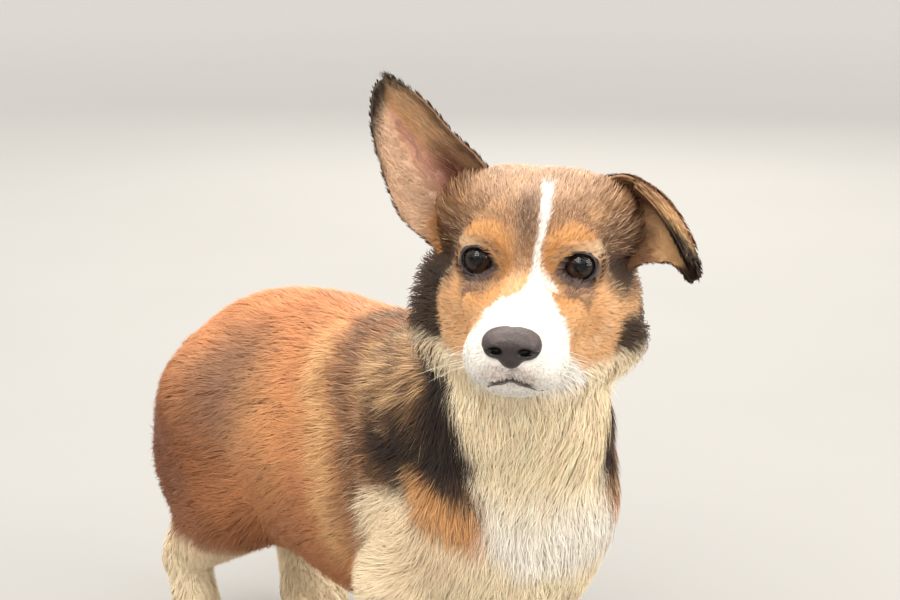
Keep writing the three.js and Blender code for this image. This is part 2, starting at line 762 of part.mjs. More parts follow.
// A solid a little larger all round
function grown( solid, margin ) {

	const geometry = geometryOf( solid );
	const position = geometry.attributes.position;
	const normal = geometry.attributes.normal;
	for ( let n = 0; n < position.count; n ++ )
		position.setXYZ( n, position.getX( n ) + margin * normal.getX( n ),
			position.getY( n ) + margin * normal.getY( n ), position.getZ( n ) + margin * normal.getZ( n ) );

	return solidOf( geometry );

}

// A solid moved a little each way, which together cover it with room all round
const besides = ( solid ) =>
	[ [ 0.6, 0, 0 ], [ - 0.6, 0, 0 ], [ 0, - 0.6, 0 ], [ 0, 0, 0.6 ], [ 0, 0, - 0.6 ] ]
		.map( ( way ) => solid.translate( way ) );

// Locks join the node that they are rooted in. Where one hangs over a node that comes later in
// the order, that node is cut clear of it, and one that would cross an earlier node is cut itself.
const locks = {};
for ( const row of lockRows )
	for ( let n = 0; n < row.count; n ++ ) {

		const even = row.from + ( row.to - row.from ) * ( row.count > 1 ? n / ( row.count - 1 ) : 0.5 );
		const { root, frames } = lockFrames( row, even + draw( - 3, 3 ) );
		const owner = ownerOf( root );
		( locks[ owner ] ??= [] ).push( { tip: lockSolid( frames ), room: lockSolid( frames, seamGap ) } );

	}

const order = [ 'tail', 'neck', 'chest', 'rump', 'hindleg_right', 'hindleg_left', 'barrel',
	'foreleg_right', 'foreleg_left' ];
const coatOf = {
	neck: materials.white, chest: materials.white,
	foreleg_right: materials.sable, foreleg_left: materials.sable,
};
const wholeTrunk = grown( trunkNet, 0.6 );
const sidesOf = { neck: [ beyond( seams.neckTop.at, seams.neckTop.normal ) ], rump: besides( cores.tail ) };
sidesOf.chest = [ ...sidesOf.neck, beyond( seams.neckRoot.at, seams.neckRoot.normal ) ];
for ( const kind of [ 'foreleg', 'hindleg' ] )
	for ( const side of [ - 1, 1 ] )
		sidesOf[ kind + ( side < 0 ? '_right' : '_left' ) ] = [ wholeTrunk.subtract( legSeat( kind, side ) ) ];

const rooms = [];
for ( const name of order ) {

	const own = locks[ name ] ?? [];
	let solid = rooms.reduce( ( rest, room ) => rest.subtract( room ), cores[ name ] );
	if ( own.length > 0 ) {

		let tips = own.map( ( lock ) => lock.tip ).reduce( ( all, tip ) => all.add( tip ) );
		for ( const other of [ ...( sidesOf[ name ] ?? [] ), ...rooms ] ) tips = tips.subtract( other );
		solid = solid.add( tips );

	}

	rooms.push( ...own.map( ( lock ) => lock.room ) );
	addNode( dog, name, solid, coatOf[ name ] ?? materials.red );

}

// The nose pad, with its nostrils and the groove between them
const nose = {
	pad: { at: [ 0, - 59, - 26.5 ], radii: [ 12.5, 8.5, 8.2 ] },
	wing: { at: [ 7.5, - 60, - 28.5 ], radii: [ 6, 7.2, 6.8 ] },
	lip: { at: [ 0, - 60, - 33 ], radii: [ 5, 6.5, 4.5 ] },
};
const nostril = { at: [ 6.2, - 67, - 28 ], radii: [ 2.7, 5, 2.6 ] };

function noseField( h ) {

	const q = [ Math.abs( h[ 0 ] ), h[ 1 ], h[ 2 ] ];
	let d = ellipsoid( q, nose.pad.at, nose.pad.radii );
	d = smoothJoin( d, ellipsoid( q, nose.wing.at, nose.wing.radii ), 3 );
	return smoothJoin( d, ellipsoid( q, nose.lip.at, nose.lip.radii ), 3 );

}

const noseNet = ( grow ) =>
	solidOf( netGeometry( ( h ) => noseField( h ) - grow, [ - 18, - 76, - 44 ], [ 18, - 44, - 10 ], 4.2 ) );
const slot = ( width, depth, height, at ) =>
	solidOf( new THREE.BoxGeometry( width, depth, height ).translate( ...at ) );
let noseSolid = noseNet( 0 ).subtract( slot( 0.9, 6, 14, [ 0, - 70, - 34 ] ) );
for ( const side of [ - 1, 1 ] ) {

	noseSolid = noseSolid.subtract( ballSolid( mirrored( nostril.at, side ), nostril.radii, 0, 0, 10 ) );
	noseSolid = noseSolid.subtract( slot( 6, 8, 1.1, [ side * 10.5, - 67, - 30 ] ) );

}

addNode( headGroup, 'nose', noseSolid, materials.nose );

// Head, cut from the body's field in its own frame
const headNet = ( grow, cell ) => solidOf( netGeometry(
	( h ) => bodyField( fromHead( h ) ) - grow, [ - 70, - 78, - 90 ], [ 70, 100, 60 ], cell ) );
const nodePlane = ( seam ) => ( {
	at: toHead( seam.at ),
	normal: new THREE.Vector3( ...seam.normal ).transformDirection( headInverse ).toArray(),
} );
let headSolid = between( headNet( 0, 7 ), nodePlane( seams.neckTop ), null );
headSolid = headSolid.subtract( noseNet( seamGap + 0.1 ) );

// A lens-shaped prism that starts at a point and runs forward along a direction
function lensPrism( from, direction, width, height, length ) {

	const outline = new THREE.Shape();
	const bow = height * 0.66;
	outline.moveTo( - width / 2, 0 );
	outline.bezierCurveTo( - width / 4, bow, width / 4, bow, width / 2, 0 );
	outline.bezierCurveTo( width / 4, - bow, - width / 4, - bow, - width / 2, 0 );
	const geometry = new THREE.ExtrudeGeometry( outline,
		{ depth: length, bevelEnabled: false, curveSegments: 7 } );
	const forward = new THREE.Vector3( ...direction ).normalize();
	const across = new THREE.Vector3( 0, 0, 1 ).cross( forward ).normalize();
	const up = forward.clone().cross( across );
	geometry.applyMatrix4( new THREE.Matrix4().makeBasis( across, up, forward ) );
	return solidOf( geometry.translate( ...from ) );

}

// Eyes in their sockets, with lids round an opening
const eye = {
	at: [ eyeHalfSpacing, 4, 0 ], gaze: [ 0.12, - 0.98, 0.1 ],
	lid: 2.1, width: 17.5, height: 15,
};
for ( const side of [ - 1, 1 ] ) {

	const at = mirrored( eye.at, side );
	const ball = ( radius ) => ballSolid( at, [ radius, radius, radius ], 0, 0, 14 );
	headSolid = headSolid.add( ball( eyeRadius + eye.lid ) ).subtract( ball( eyeRadius + seamGap ) );
	headSolid = headSolid.subtract( lensPrism( at, mirrored( eye.gaze, side ), eye.width, eye.height, 20 ) );
	addNode( headGroup, side < 0 ? 'eye_right' : 'eye_left', ball( eyeRadius ), materials.eye );

}

// The line of the mouth, a groove along the lips from one corner round the front to the other
const lips = [ [ 27, - 12, - 44 ], [ 25, - 27, - 48 ], [ 18, - 44, - 50 ], [ 8, - 57, - 48 ] ];
const grooveRadius = 1.5;
const headSurface = ( h ) => ontoSurface( ( p ) => bodyField( fromHead( p ) ), h, 4 );
const lipLine = [ ...lips, [ 0, - 60, - 46 ], ...lips.map( ( p ) => mirrored( p, - 1 ) ).reverse() ];
const lipCurve = new THREE.CatmullRomCurve3(
	lipLine.map( ( p ) => new THREE.Vector3( ...headSurface( p ) ) ) );
const section = new THREE.Shape( [ 0, 1, 2, 3 ].map( ( n ) => new THREE.Vector2(
	grooveRadius * Math.cos( n * Math.PI / 2 ), grooveRadius * Math.sin( n * Math.PI / 2 ) ) ) );
headSolid = headSolid.subtract( solidOf(
	new THREE.ExtrudeGeometry( section, { steps: 18, bevelEnabled: false, extrudePath: lipCurve } ) ) );
addNode( headGroup, 'head', headSolid, materials.sable );

// An ear is a thin shell over three curves from its root to its tip: the edge near the crown,
// the bottom of the cup and the edge near the cheek. Right is the one that stands up.
const ears = {
	right: {
		crown: [ [ - 23, 34, 34 ], [ - 31, 32, 45 ], [ - 45, 29, 58 ],
			[ - 56, 27, 70 ], [ - 66, 26, 78 ], [ - 73, 27, 81 ] ],
		cup: [ [ - 34, 44, 14 ], [ - 48, 46, 26 ], [ - 59, 42, 38 ],
			[ - 69, 37, 55 ], [ - 77, 32, 70 ], [ - 80, 28, 83 ] ],
		cheek: [ [ - 42, 24, - 8 ], [ - 53, 20, 3 ], [ - 66, 18, 15 ],
			[ - 76, 19, 37 ], [ - 83, 23, 61 ], [ - 83, 26, 77 ] ],
	},
	left: {
		crown: [ [ 26, 34, 32 ], [ 36, 32, 39 ], [ 45, 31, 38 ],
			[ 57, 28, 29 ], [ 69, 23, 15 ], [ 80, 15, - 1 ] ],
		cup: [ [ 36, 44, 14 ], [ 49, 45, 20 ], [ 63, 41, 21 ],
			[ 72, 35, 13 ], [ 78, 26, 3 ], [ 81, 17, - 6 ] ],
		cheek: [ [ 42, 26, - 8 ], [ 54, 21, - 1 ], [ 61, 20, 0 ],
			[ 67, 21, 1 ], [ 73, 19, - 2 ], [ 79, 14, - 6 ] ],
	},
};
const earThickness = { middle: 3.4, rim: 2.2 };

function earSolid( ear ) {

	const curves = [ ear.crown, ear.cup, ear.cheek ].map( ( points ) =>
		new THREE.CatmullRomCurve3( points.map( ( p ) => new THREE.Vector3( ...p ) ) ) );
	const across = 6;
	const along = 9;
	const inner = ( u, v ) => {

		const [ a, b, c ] = curves.map( ( curve ) => curve.getPoint( v ) );
		return a.multiplyScalar( ( 1 - u ) * ( 1 - 2 * u ) ).addScaledVector( b, 4 * u * ( 1 - u ) )
			.addScaledVector( c, u * ( 2 * u - 1 ) );

	};

	const outer = ( u, v ) => {

		const step = 0.01;
		const p = inner( u, v );
		const du = inner( u + step, v ).sub( inner( u - step, v ) );
		const dv = inner( u, Math.min( v + step, 1 ) ).sub( inner( u, Math.max( v - step, 0 ) ) );
		const back = du.cross( dv ).normalize();
		if ( back.y < 0 ) back.negate();
		const thicker = ( earThickness.middle - earThickness.rim ) * Math.sin( Math.PI * u );
		return p.addScaledVector( back, earThickness.rim + thicker );

	};

	const positions = [];
	const triangles = [];
	const point = ( layer, i, j ) => ( layer * ( along + 1 ) + j ) * ( across + 1 ) + i;
	for ( const side of [ inner, outer ] )
		for ( let j = 0; j <= along; j ++ )
			for ( let i = 0; i <= across; i ++ ) positions.push( ...side( i / across, j / along ).toArray() );

	const quad = ( a, b, c, d ) => triangles.push( a, b, c, a, c, d );
	for ( let j = 0; j < along; j ++ )
		for ( let i = 0; i < across; i ++ ) {

			quad( point( 0, i, j ), point( 0, i + 1, j ), point( 0, i + 1, j + 1 ), point( 0, i, j + 1 ) );
			quad( point( 1, i, j ), point( 1, i, j + 1 ), point( 1, i + 1, j + 1 ), point( 1, i + 1, j ) );

		}

	for ( let i = 0; i < across; i ++ ) {

		quad( point( 0, i, 0 ), point( 1, i, 0 ), point( 1, i + 1, 0 ), point( 0, i + 1, 0 ) );
		quad( point( 0, i, along ), point( 0, i + 1, along ), point( 1, i + 1, along ), point( 1, i, along ) );

	}

	for ( let j = 0; j < along; j ++ ) {

		quad( point( 0, 0, j ), point( 0, 0, j + 1 ), point( 1, 0, j + 1 ), point( 1, 0, j ) );
		quad( point( 0, across, j ), point( 1, across, j ),
			point( 1, across, j + 1 ), point( 0, across, j + 1 ) );

	}

	const geometry = new THREE.BufferGeometry();
	geometry.setAttribute( 'position', new THREE.BufferAttribute( new Float32Array( positions ), 3 ) );
	geometry.setIndex( triangles );
	const solid = solidOf( geometry );
	if ( solid.volume() > 0 ) return solid;
	geometry.setIndex( triangles.reverse() );
	return solidOf( geometry );

}

const earSeat = headNet( seamGap + 0.3, 7 );
for ( const [ sideName, ear ] of Object.entries( ears ) )
	addNode( headGroup, 'ear_' + sideName, earSolid( ear ).subtract( earSeat ), materials.sable );

// The origin goes on the floor under the middle of the box
const box = new THREE.Box3().setFromObject( dog, true );
const middle = box.getCenter( new THREE.Vector3() );
dog.position.set( - middle.x, - middle.y, - box.min.z );
dog.updateMatrixWorld( true );

export default dog;
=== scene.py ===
import json
import math
import bmesh
import bpy
import numpy as np
from mathutils import Matrix, Vector, kdtree

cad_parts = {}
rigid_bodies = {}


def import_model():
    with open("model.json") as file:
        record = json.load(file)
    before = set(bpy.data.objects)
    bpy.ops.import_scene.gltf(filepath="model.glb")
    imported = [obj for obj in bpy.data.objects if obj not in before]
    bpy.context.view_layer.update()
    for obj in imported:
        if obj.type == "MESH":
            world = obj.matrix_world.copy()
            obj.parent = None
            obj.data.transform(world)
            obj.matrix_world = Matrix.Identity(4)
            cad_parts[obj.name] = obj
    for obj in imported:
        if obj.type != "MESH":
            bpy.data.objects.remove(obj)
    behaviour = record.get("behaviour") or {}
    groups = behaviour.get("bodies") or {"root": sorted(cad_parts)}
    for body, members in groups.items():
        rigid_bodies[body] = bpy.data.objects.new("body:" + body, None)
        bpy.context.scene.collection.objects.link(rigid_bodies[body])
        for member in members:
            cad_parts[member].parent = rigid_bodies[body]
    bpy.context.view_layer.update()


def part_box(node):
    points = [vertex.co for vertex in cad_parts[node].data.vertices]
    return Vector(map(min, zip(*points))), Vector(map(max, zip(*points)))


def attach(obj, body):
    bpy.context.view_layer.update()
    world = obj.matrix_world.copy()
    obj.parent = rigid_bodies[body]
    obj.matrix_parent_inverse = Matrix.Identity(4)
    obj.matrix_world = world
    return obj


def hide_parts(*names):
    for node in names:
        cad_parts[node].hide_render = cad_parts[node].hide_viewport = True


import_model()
bpy.ops.object.select_all(action="DESELECT")
for block in list(bpy.data.objects):
    if block.type in ("CAMERA", "LIGHT"):
        bpy.data.objects.remove(block)
random = np.random.default_rng(11)
print("stage: frame loaded")

# Sizes of the dog in millimetres, in the frame that the CAD is modelled in:
# the floor under the forelegs is the origin and the body points along -Y.
dog = {
    "backHeight": 249.0, "chestBottom": 67.0, "chestHalfWidth": 73.0, "bodyLength": 322.0,
    "forelegSpread": 40.0, "hindlegSpread": 43.0,
    "headPlace": (-50.0, -78.0, 300.0), "headTurn": 53.0, "headNod": -1.5, "headTilt": 1.5,
    "eyeHalfSpacing": 24.5, "eyeRadius": 9.5,
}
chestDepth = dog["backHeight"] - dog["chestBottom"]
chestMiddle = (dog["backHeight"] + dog["chestBottom"]) / 2
rumpEnd = dog["bodyLength"] - 72
headTurning = (Matrix.Rotation(math.radians(-dog["headTurn"]), 3, "Z")
               @ Matrix.Rotation(math.radians(dog["headNod"]), 3, "X")
               @ Matrix.Rotation(math.radians(dog["headTilt"]), 3, "Y"))
turning = np.array(headTurning)
headPlace = np.array(dog["headPlace"])


def toHead(p):
    return (p - headPlace) @ turning


def fromHead(h):
    return np.asarray(h, float) @ turning.T + headPlace


# The CAD moves the whole dog so that its box stands over the origin; the eyes tell how far
eyeMiddles = [sum((Vector(c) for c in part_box("eye_" + side)), Vector()) / 2 for side in ("right", "left")]
eyesMiddle = np.array((eyeMiddles[0] + eyeMiddles[1]) / 2) * 1000
moved = eyesMiddle - fromHead([0, 4, 0])


def toScene(p):
    return (p + moved) / 1000


# Distances to forms, for many points at once, negative inside
def smoothJoin(a, b, reach):
    h = np.maximum(reach - np.abs(a - b), 0) / reach
    return np.minimum(a, b) - h * h * reach * 0.25


def smoothCut(a, b, reach):
    return -smoothJoin(-a, b, reach)


def ellipsoid(p, at, radii, pitch=0.0):
    c, s = math.cos(math.radians(pitch)), math.sin(math.radians(pitch))
    x, y, z = (p[:, i] - at[i] for i in range(3))
    y, z = y * c + z * s, z * c - y * s
    a = np.sqrt((x / radii[0]) ** 2 + (y / radii[1]) ** 2 + (z / radii[2]) ** 2)
    b = np.sqrt((x / radii[0] ** 2) ** 2 + (y / radii[1] ** 2) ** 2 + (z / radii[2] ** 2) ** 2)
    return a * (a - 1) / np.maximum(b, 1e-6)


def limb(p, a, b, ra, rb):  # a round bar whose radius goes from ra at a to rb at b
    a, b = np.asarray(a, float), np.asarray(b, float)
    along = b - a
    t = np.clip((p - a) @ along / (along @ along), 0, 1)
    return np.linalg.norm(p - a - t[:, None] * along, axis=1) - (ra + (rb - ra) * t)


def step(x, low, high):  # from 0 below low to 1 above high
    t = np.clip((x - low) / (high - low), 0, 1)
    return t * t * (3 - 2 * t)


def bell(x, middle, width):  # 1 at the middle, fading to 0 on both sides
    return np.exp(-((x - middle) / width) ** 2)


def mirrored(p):
    return np.column_stack([np.abs(p[:, 0]), p[:, 1], p[:, 2]])


# The dog's forms: places and radii, with a pitch in degrees for those of the trunk
trunk = {
    "ribs": ((0, 74, chestMiddle), (dog["chestHalfWidth"], 98, chestDepth / 2), 0),
    "withers": ((0, 18, chestMiddle + 30), (52, 60, chestDepth / 2 - 34), 0),
    "forechest": ((0, -18, chestMiddle - 14), (58, 54, 69), 10),
    "belly": ((0, 152, chestMiddle + 1), (69, 80, 79), 0),
    "croup": ((0, rumpEnd - 60, chestMiddle - 4), (58, 58, 67), -4),
}
foreleg = {
    "joints": {
        "shoulder": (41, -16, 158), "elbow": (46, 20, 104), "wrist": (dog["forelegSpread"], 9, 44),
        "foot": (dog["forelegSpread"], 2, 18),
    },
    "radii": (30, 24, 16.5, 15.5), "blends": (14, 10),
}
hindleg = {
    "joints": {
        "hip": (38, rumpEnd - 62, 170), "stifle": (46, rumpEnd - 86, 114),
        "hock": (dog["hindlegSpread"], rumpEnd - 26, 60), "foot": (dog["hindlegSpread"], rumpEnd - 38, 18),
    },
    "radii": (40, 28, 15, 15), "blends": (16, 8), "thigh": ((40, rumpEnd - 50, 131), (28, 47, 52)),
}
paw = {
    "reach": -13, "padBack": 7, "pad": ((0, 3, 13), (17, 19, 15)), "toe": ((0, -7, 9.5), (6.9, 12.5, 10.5)),
    "toes": ((-15, 0), (-5.4, -6), (5.4, -6), (15, 0)),
}
tail = {
    "root": (0, rumpEnd - 16, chestMiddle + 28), "tip": (0, rumpEnd + 20, chestMiddle + 22),
    "radii": (19, 10),
}
skull = {
    "cranium": ((0, 40, 4), (45, 47, 37)), "forehead": ((0, 14, 6), (31, 27, 27)),
    "cheek": ((32, 34, -22), (20, 34, 27)), "underEye": ((16, -6, -20), (17, 26, 18)),
    "brow": ((17, 2, 12), (13, 10, 8)), "muzzle": ((0, -30, -33), (23, 33, 18)),
    "jaw": ((0, 12, -41), (29, 50, 16)), "flew": ((11, -44, -38), (13.5, 16, 13)),
    "chin": ((0, -39, -48), (12, 14, 7)), "crown": ((19, 33, 20), (23, 25, 21)),
    "earRoot": ((33, 38, 13), (14, 15, 18)),
}
bridge = ((0, -2, -5), (0, -51, -25), 14, 11)
neck = ((0, 8, 178), fromHead([0, 46, -26]), 60, 50)
ruff = ((-2, -28, 160), fromHead([0, 24, -58]), 46, 41)
collar = ((0, 38, -44), (53, 26, 30))
# How far each form is blended into the others
blend = {
    "trunk": 26, "neck": 26, "ruff": 20, "collar": 16, "head": 12, "skull": 10, "tail": 10,
    "thigh": 20, "foreleg": 12, "hindleg": 14, "paw": 9, "toe": 4,
}


def headField(h):
    q = mirrored(h)
    d = limb(q, *bridge)
    for at, radii in skull.values():
        d = smoothJoin(d, ellipsoid(q, at, radii), blend["skull"])
    return d


def pawField(q, leg):
    foot = leg["joints"]["foot"]
    q = q - np.array([foot[0], foot[1] + paw["reach"] + paw["padBack"], 0])
    d = ellipsoid(q, *paw["pad"])
    for across, ahead in paw["toes"]:
        at = np.array(paw["toe"][0]) + (across, ahead, 0)
        d = smoothJoin(d, ellipsoid(q, at, paw["toe"][1]), blend["toe"])
    return d


def legField(q, leg):
    joints, radii = list(leg["joints"].values()), leg["radii"]
    d = limb(q, joints[0], joints[1], radii[0], radii[1])
    if "thigh" in leg:
        d = smoothJoin(d, ellipsoid(q, *leg["thigh"]), blend["thigh"])
    for k, reach in enumerate(leg["blends"], 1):
        d = smoothJoin(d, limb(q, joints[k], joints[k + 1], radii[k], radii[k + 1]), reach)
    return d


def neckField(p):
    d = smoothJoin(limb(p, *neck), limb(p, *ruff), blend["ruff"])
    return smoothJoin(d, ellipsoid(toHead(p), *collar), blend["collar"])


def tailField(p):
    return limb(p, tail["root"], tail["tip"], *tail["radii"])


def bodyField(p):
    d = np.full(len(p), 1e3)
    for at, radii, pitch in trunk.values():
        d = smoothJoin(d, ellipsoid(p, at, radii, pitch), blend["trunk"])
    d = smoothJoin(d, neckField(p), blend["neck"])
    d = smoothJoin(d, headField(toHead(p)), blend["head"])
    d = smoothJoin(d, tailField(p), blend["tail"])
    q = mirrored(p)
    d = smoothJoin(d, legField(q, foreleg), blend["foreleg"])
    d = smoothJoin(d, legField(q, hindleg), blend["hindleg"])
    for leg in (foreleg, hindleg):
        d = smoothJoin(d, pawField(q, leg), blend["paw"])
    return d


# How deep the coat is over the skin, which lies that far inside the CAD's surface
coatDepth = {
    "body": 6.6, "neck": 8.0, "leg": 3.4, "paw": 1.6, "withers": 10,
    "skull": 3.6, "cheek": 6.0, "muzzle": 1.3, "eye": 1.4,
}


def depthOf(p):
    h = toHead(p)
    onHead = 1 - step(headField(h), 2, 26)
    depth = np.full(len(p), coatDepth["body"])
    nearNeck = 1 - step(neckField(p), 4, 30)
    depth += (coatDepth["neck"] - depth) * nearNeck
    low = 1 - step(p[:, 2], 70, 125)
    depth += (coatDepth["leg"] - depth) * low
    depth += (coatDepth["paw"] - depth) * (1 - step(p[:, 2], 22, 46))
    lowCheek = step(h[:, 1], 12, 50) * (1 - step(h[:, 2], -14, 16))
    face = coatDepth["skull"] + (coatDepth["cheek"] - coatDepth["skull"]) * lowCheek
    face += (coatDepth["muzzle"] - face) * (1 - step(h[:, 1], -26, 6))
    fromEye = np.linalg.norm(mirrored(h) - (dog["eyeHalfSpacing"], -2, 0), axis=1)
    face += (coatDepth["eye"] - face) * (1 - step(fromEye, 12, 22))
    depth += coatDepth["withers"] * (1 - step(p[:, 1], 84, 140)) * step(p[:, 2], 212, 240)
    return depth + (face - depth) * onHead


# Outside (above 0) and inside (below 0) of the opening of the lids, in millimetres, seen from the
# front, with the inner corner drawn out and a little down
eye = {
    "width": 7.8, "height": 6.8, "power": 2.1, "shift": (0.4, 0.3), "ballBack": 4, "lidOverBall": 1.5,
    "corner": 1.8, "cornerAngle": math.pi + 0.3, "cornerWidth": 0.3, "socket": ((21, -15.5, -1), 12.5),
    # a ridge's distance from the opening, its width and its height
    "crease": (3.4, 0.7, 0.55), "bag": (4.4, 0.8, 0.4),
}
faceBall = {"middle": (0, -10, -10), "radius": 75}


def openingReach(angle):
    c, s = np.abs(np.cos(angle)) / eye["width"], np.abs(np.sin(angle)) / eye["height"]
    reach = (c ** eye["power"] + s ** eye["power"]) ** (-1 / eye["power"])
    off = np.mod(angle - eye["cornerAngle"] + math.pi, 2 * math.pi) - math.pi
    return reach + eye["corner"] * bell(off, 0, eye["cornerWidth"])


def lidRing(q):
    x, z = q[:, 0] - dog["eyeHalfSpacing"] - eye["shift"][0], q[:, 2] - eye["shift"][1]
    return np.hypot(x, z) - openingReach(np.arctan2(z, x))


# The line of the mouth, from its corner to its middle, laid on the skin further down
mouth = {"depth": 0.9, "thinFrom": 6, "thinning": 0.12}
lips = [(27, -12, -44), (25, -27, -47), (18, -44, -48.6), (8, -57, -46.8), (0, -60, -46)]
lips = [np.array(p, float) for p in lips]


def farFromLips(q):
    return np.min([limb(q, a, b, 0, 0) for a, b in zip(lips, lips[1:])], 0)


def nearFace(p):  # the points near the face, mirrored and in the head's frame, and their way to the eye
    h = toHead(p)
    near = np.linalg.norm(h - faceBall["middle"], axis=1) < faceBall["radius"]
    q = mirrored(h[near])
    return near, q, np.linalg.norm(q - (dog["eyeHalfSpacing"], eye["ballBack"], 0), axis=1)


# The skin before the lids and the mouth are opened: the body less its coat, with the sockets,
# the bulge of the lids, the crease over each eye and the fold under it
def closedSkin(p):
    d = bodyField(p) + depthOf(p)
    near, q, ball = nearFace(p)
    if near.any():
        ring = lidRing(q)
        front = 1 - step(q[:, 1], -2, 6)
        socketAt, socketRadius = eye["socket"]
        face = smoothCut(d[near], np.linalg.norm(q - socketAt, axis=1) - socketRadius, 5)
        face = smoothJoin(face, ball - dog["eyeRadius"] - eye["lidOverBall"], 4)
        crease = bell(ring, *eye["crease"][:2]) * step(q[:, 2], 1, 5) * front
        bag = bell(ring, *eye["bag"][:2]) * (1 - step(q[:, 2], -5, -1)) * front
        d[near] = face + eye["crease"][2] * crease + eye["bag"][2] * bag
    return d


def skinField(p):
    d = closedSkin(p)
    near, q, ball = nearFace(p)
    if near.any():
        face = np.maximum(d[near], dog["eyeRadius"] + 0.2 - ball)
        face = np.maximum(face, np.minimum(-lidRing(q), -q[:, 1] + 6))
        thinner = mouth["thinning"] * np.maximum(q[:, 0] - mouth["thinFrom"], 0)
        d[near] = np.maximum(face, mouth["depth"] - farFromLips(q) - thinner)
    return d


def slopeOf(field, p, reach=0.6):
    ways = []
    for axis in range(3):
        e = np.zeros(3)
        e[axis] = reach
        ways.append(field(p + e) - field(p - e))
    slope = np.column_stack(ways)
    return slope / np.maximum(np.linalg.norm(slope, axis=1), 1e-9)[:, None]


def settle(points, field, rounds, most):  # brings points on to the surface of a field
    for _ in range(rounds):
        points = points - slopeOf(field, points, 0.3) * np.clip(field(points), -most, most)[:, None]
    return points


# A mesh of a field's surface: one point in each cell that it crosses, then a few rounds
# that spread the points and bring them back on to the surface
def fieldMesh(field, low, high, cell, rounds=3):
    low = np.asarray(low, float)
    counts = [int(math.ceil((high[i] - low[i]) / cell / 4)) * 4 for i in range(3)]
    blocks = [n // 4 for n in counts]
    lines = [low[i] + (np.arange(blocks[i]) * 4 + 1.5) * cell for i in range(3)]
    centres = np.stack(np.meshgrid(*lines, indexing="ij"), -1)
    values = field(centres.reshape(-1, 3)).reshape(blocks)
    for axis in range(3):
        values = np.repeat(values, 4, axis)
    near = np.abs(values) < cell * 4 * 1.8
    where = np.argwhere(near)
    values[near] = field(low + where * cell)
    inside = values < 0
    corners = [(a, b, c) for a in (0, 1) for b in (0, 1) for c in (0, 1)]
    total = np.zeros([n - 1 for n in counts], np.int8)
    for corner in corners:
        total += inside[tuple(slice(k, n - 1 + k) for k, n in zip(corner, counts))]
    active = np.argwhere((total > 0) & (total < 8))
    index = np.full([n - 1 for n in counts], -1, np.int64)
    index[tuple(active.T)] = np.arange(len(active))
    sums = np.zeros((len(active), 3))
    hits = np.zeros(len(active))
    for a in corners:
        va = values[tuple((active + a).T)]
        for axis in range(3):
            if a[axis]:
                continue
            b = list(a)
            b[axis] = 1
            vb = values[tuple((active + b).T)]
            crossed = (va < 0) != (vb < 0)
            t = np.where(crossed, va / np.where(crossed, va - vb, 1), 0)
            place = np.tile(np.array(a, float), (len(active), 1))
            place[:, axis] += t
            sums += place * crossed[:, None]
            hits += crossed
    points = low + (active + sums / hits[:, None]) * cell
    quads = []
    for axis in range(3):
        ahead = [slice(1, n - 1) for n in counts]
        nextAhead = list(ahead)
        nextAhead[axis] = slice(2, counts[axis])
        here, there = inside[tuple(ahead)], inside[tuple(nextAhead)]
        u, w = (axis + 1) % 3, (axis + 2) % 3
        for turned in (False, True):
            cells = np.argwhere((here & ~there) if not turned else (~here & there)) + 1
            ring = []
            for du, dw in ((0, 0), (1, 0), (1, 1), (0, 1)):
                c = cells.copy()
                c[:, u] -= du
                c[:, w] -= dw
                ring.append(index[tuple(c.T)])
            quads.append(np.column_stack(ring[::-1] if turned else ring))
    quads = np.concatenate(quads)
    quads = quads[(quads >= 0).all(1)]
    edges = np.concatenate([quads[:, [0, 1]], quads[:, [1, 2]], quads[:, [2, 3]], quads[:, [3, 0]]])
    edges = np.concatenate([edges, edges[:, ::-1]])
    degree = np.bincount(edges[:, 0], minlength=len(points))
    for _ in range(rounds):
        ends = points[edges[:, 1]]
        total = np.column_stack([np.bincount(edges[:, 0], ends[:, i], len(points)) for i in range(3)])
        points = points + (total / np.maximum(degree, 1)[:, None] - points) * 0.5
        points = settle(points, field, 2, cell)
    return points, quads


def meshObject(name, points, faces):
    mesh = bpy.data.meshes.new(name)
    faces = np.asarray(faces)
    mesh.vertices.add(len(points))
    mesh.vertices.foreach_set("co", np.asarray(points, np.float32).ravel())
    mesh.loops.add(faces.size)
    mesh.loops.foreach_set("vertex_index", faces.astype(np.int32).ravel())
    mesh.polygons.add(len(faces))
    mesh.polygons.foreach_set("loop_start", np.arange(0, faces.size, faces.shape[1], dtype=np.int32))
    mesh.update(calc_edges=True)
    mesh.validate()
    obj = bpy.data.objects.new(name, mesh)
    bpy.context.scene.collection.objects.link(obj)
    return obj


def pointsOf(obj):
    found = np.zeros(len(obj.data.vertices) * 3)
    obj.data.vertices.foreach_get("co", found)
    return found.reshape(-1, 3)


def setPoints(obj, points):
    obj.data.vertices.foreach_set("co", np.asarray(points, np.float32).ravel())
    obj.data.update()


def setColours(mesh, colours):
    layer = mesh.color_attributes.new("coat", "FLOAT_COLOR", "POINT")
    withAlpha = np.column_stack([colours, np.ones(len(colours))])
    layer.data.foreach_set("color", withAlpha.astype(np.float32).ravel())


def facedOut(obj, closed=False):  # normals point outwards, and open ends are closed first if asked
    shape = bmesh.new()
    shape.from_mesh(obj.data)
    if closed:
        bmesh.ops.holes_fill(shape, edges=[e for e in shape.edges if e.is_boundary], sides=16)
    bmesh.ops.recalc_face_normals(shape, faces=shape.faces)
    shape.to_mesh(obj.data)
    shape.free()
    obj.data.shade_smooth()


def selectOnly(*objects):  # the last one becomes active
    bpy.ops.object.select_all(action="DESELECT")
    for obj in objects:
        obj.select_set(True)
        bpy.context.view_layer.objects.active = obj


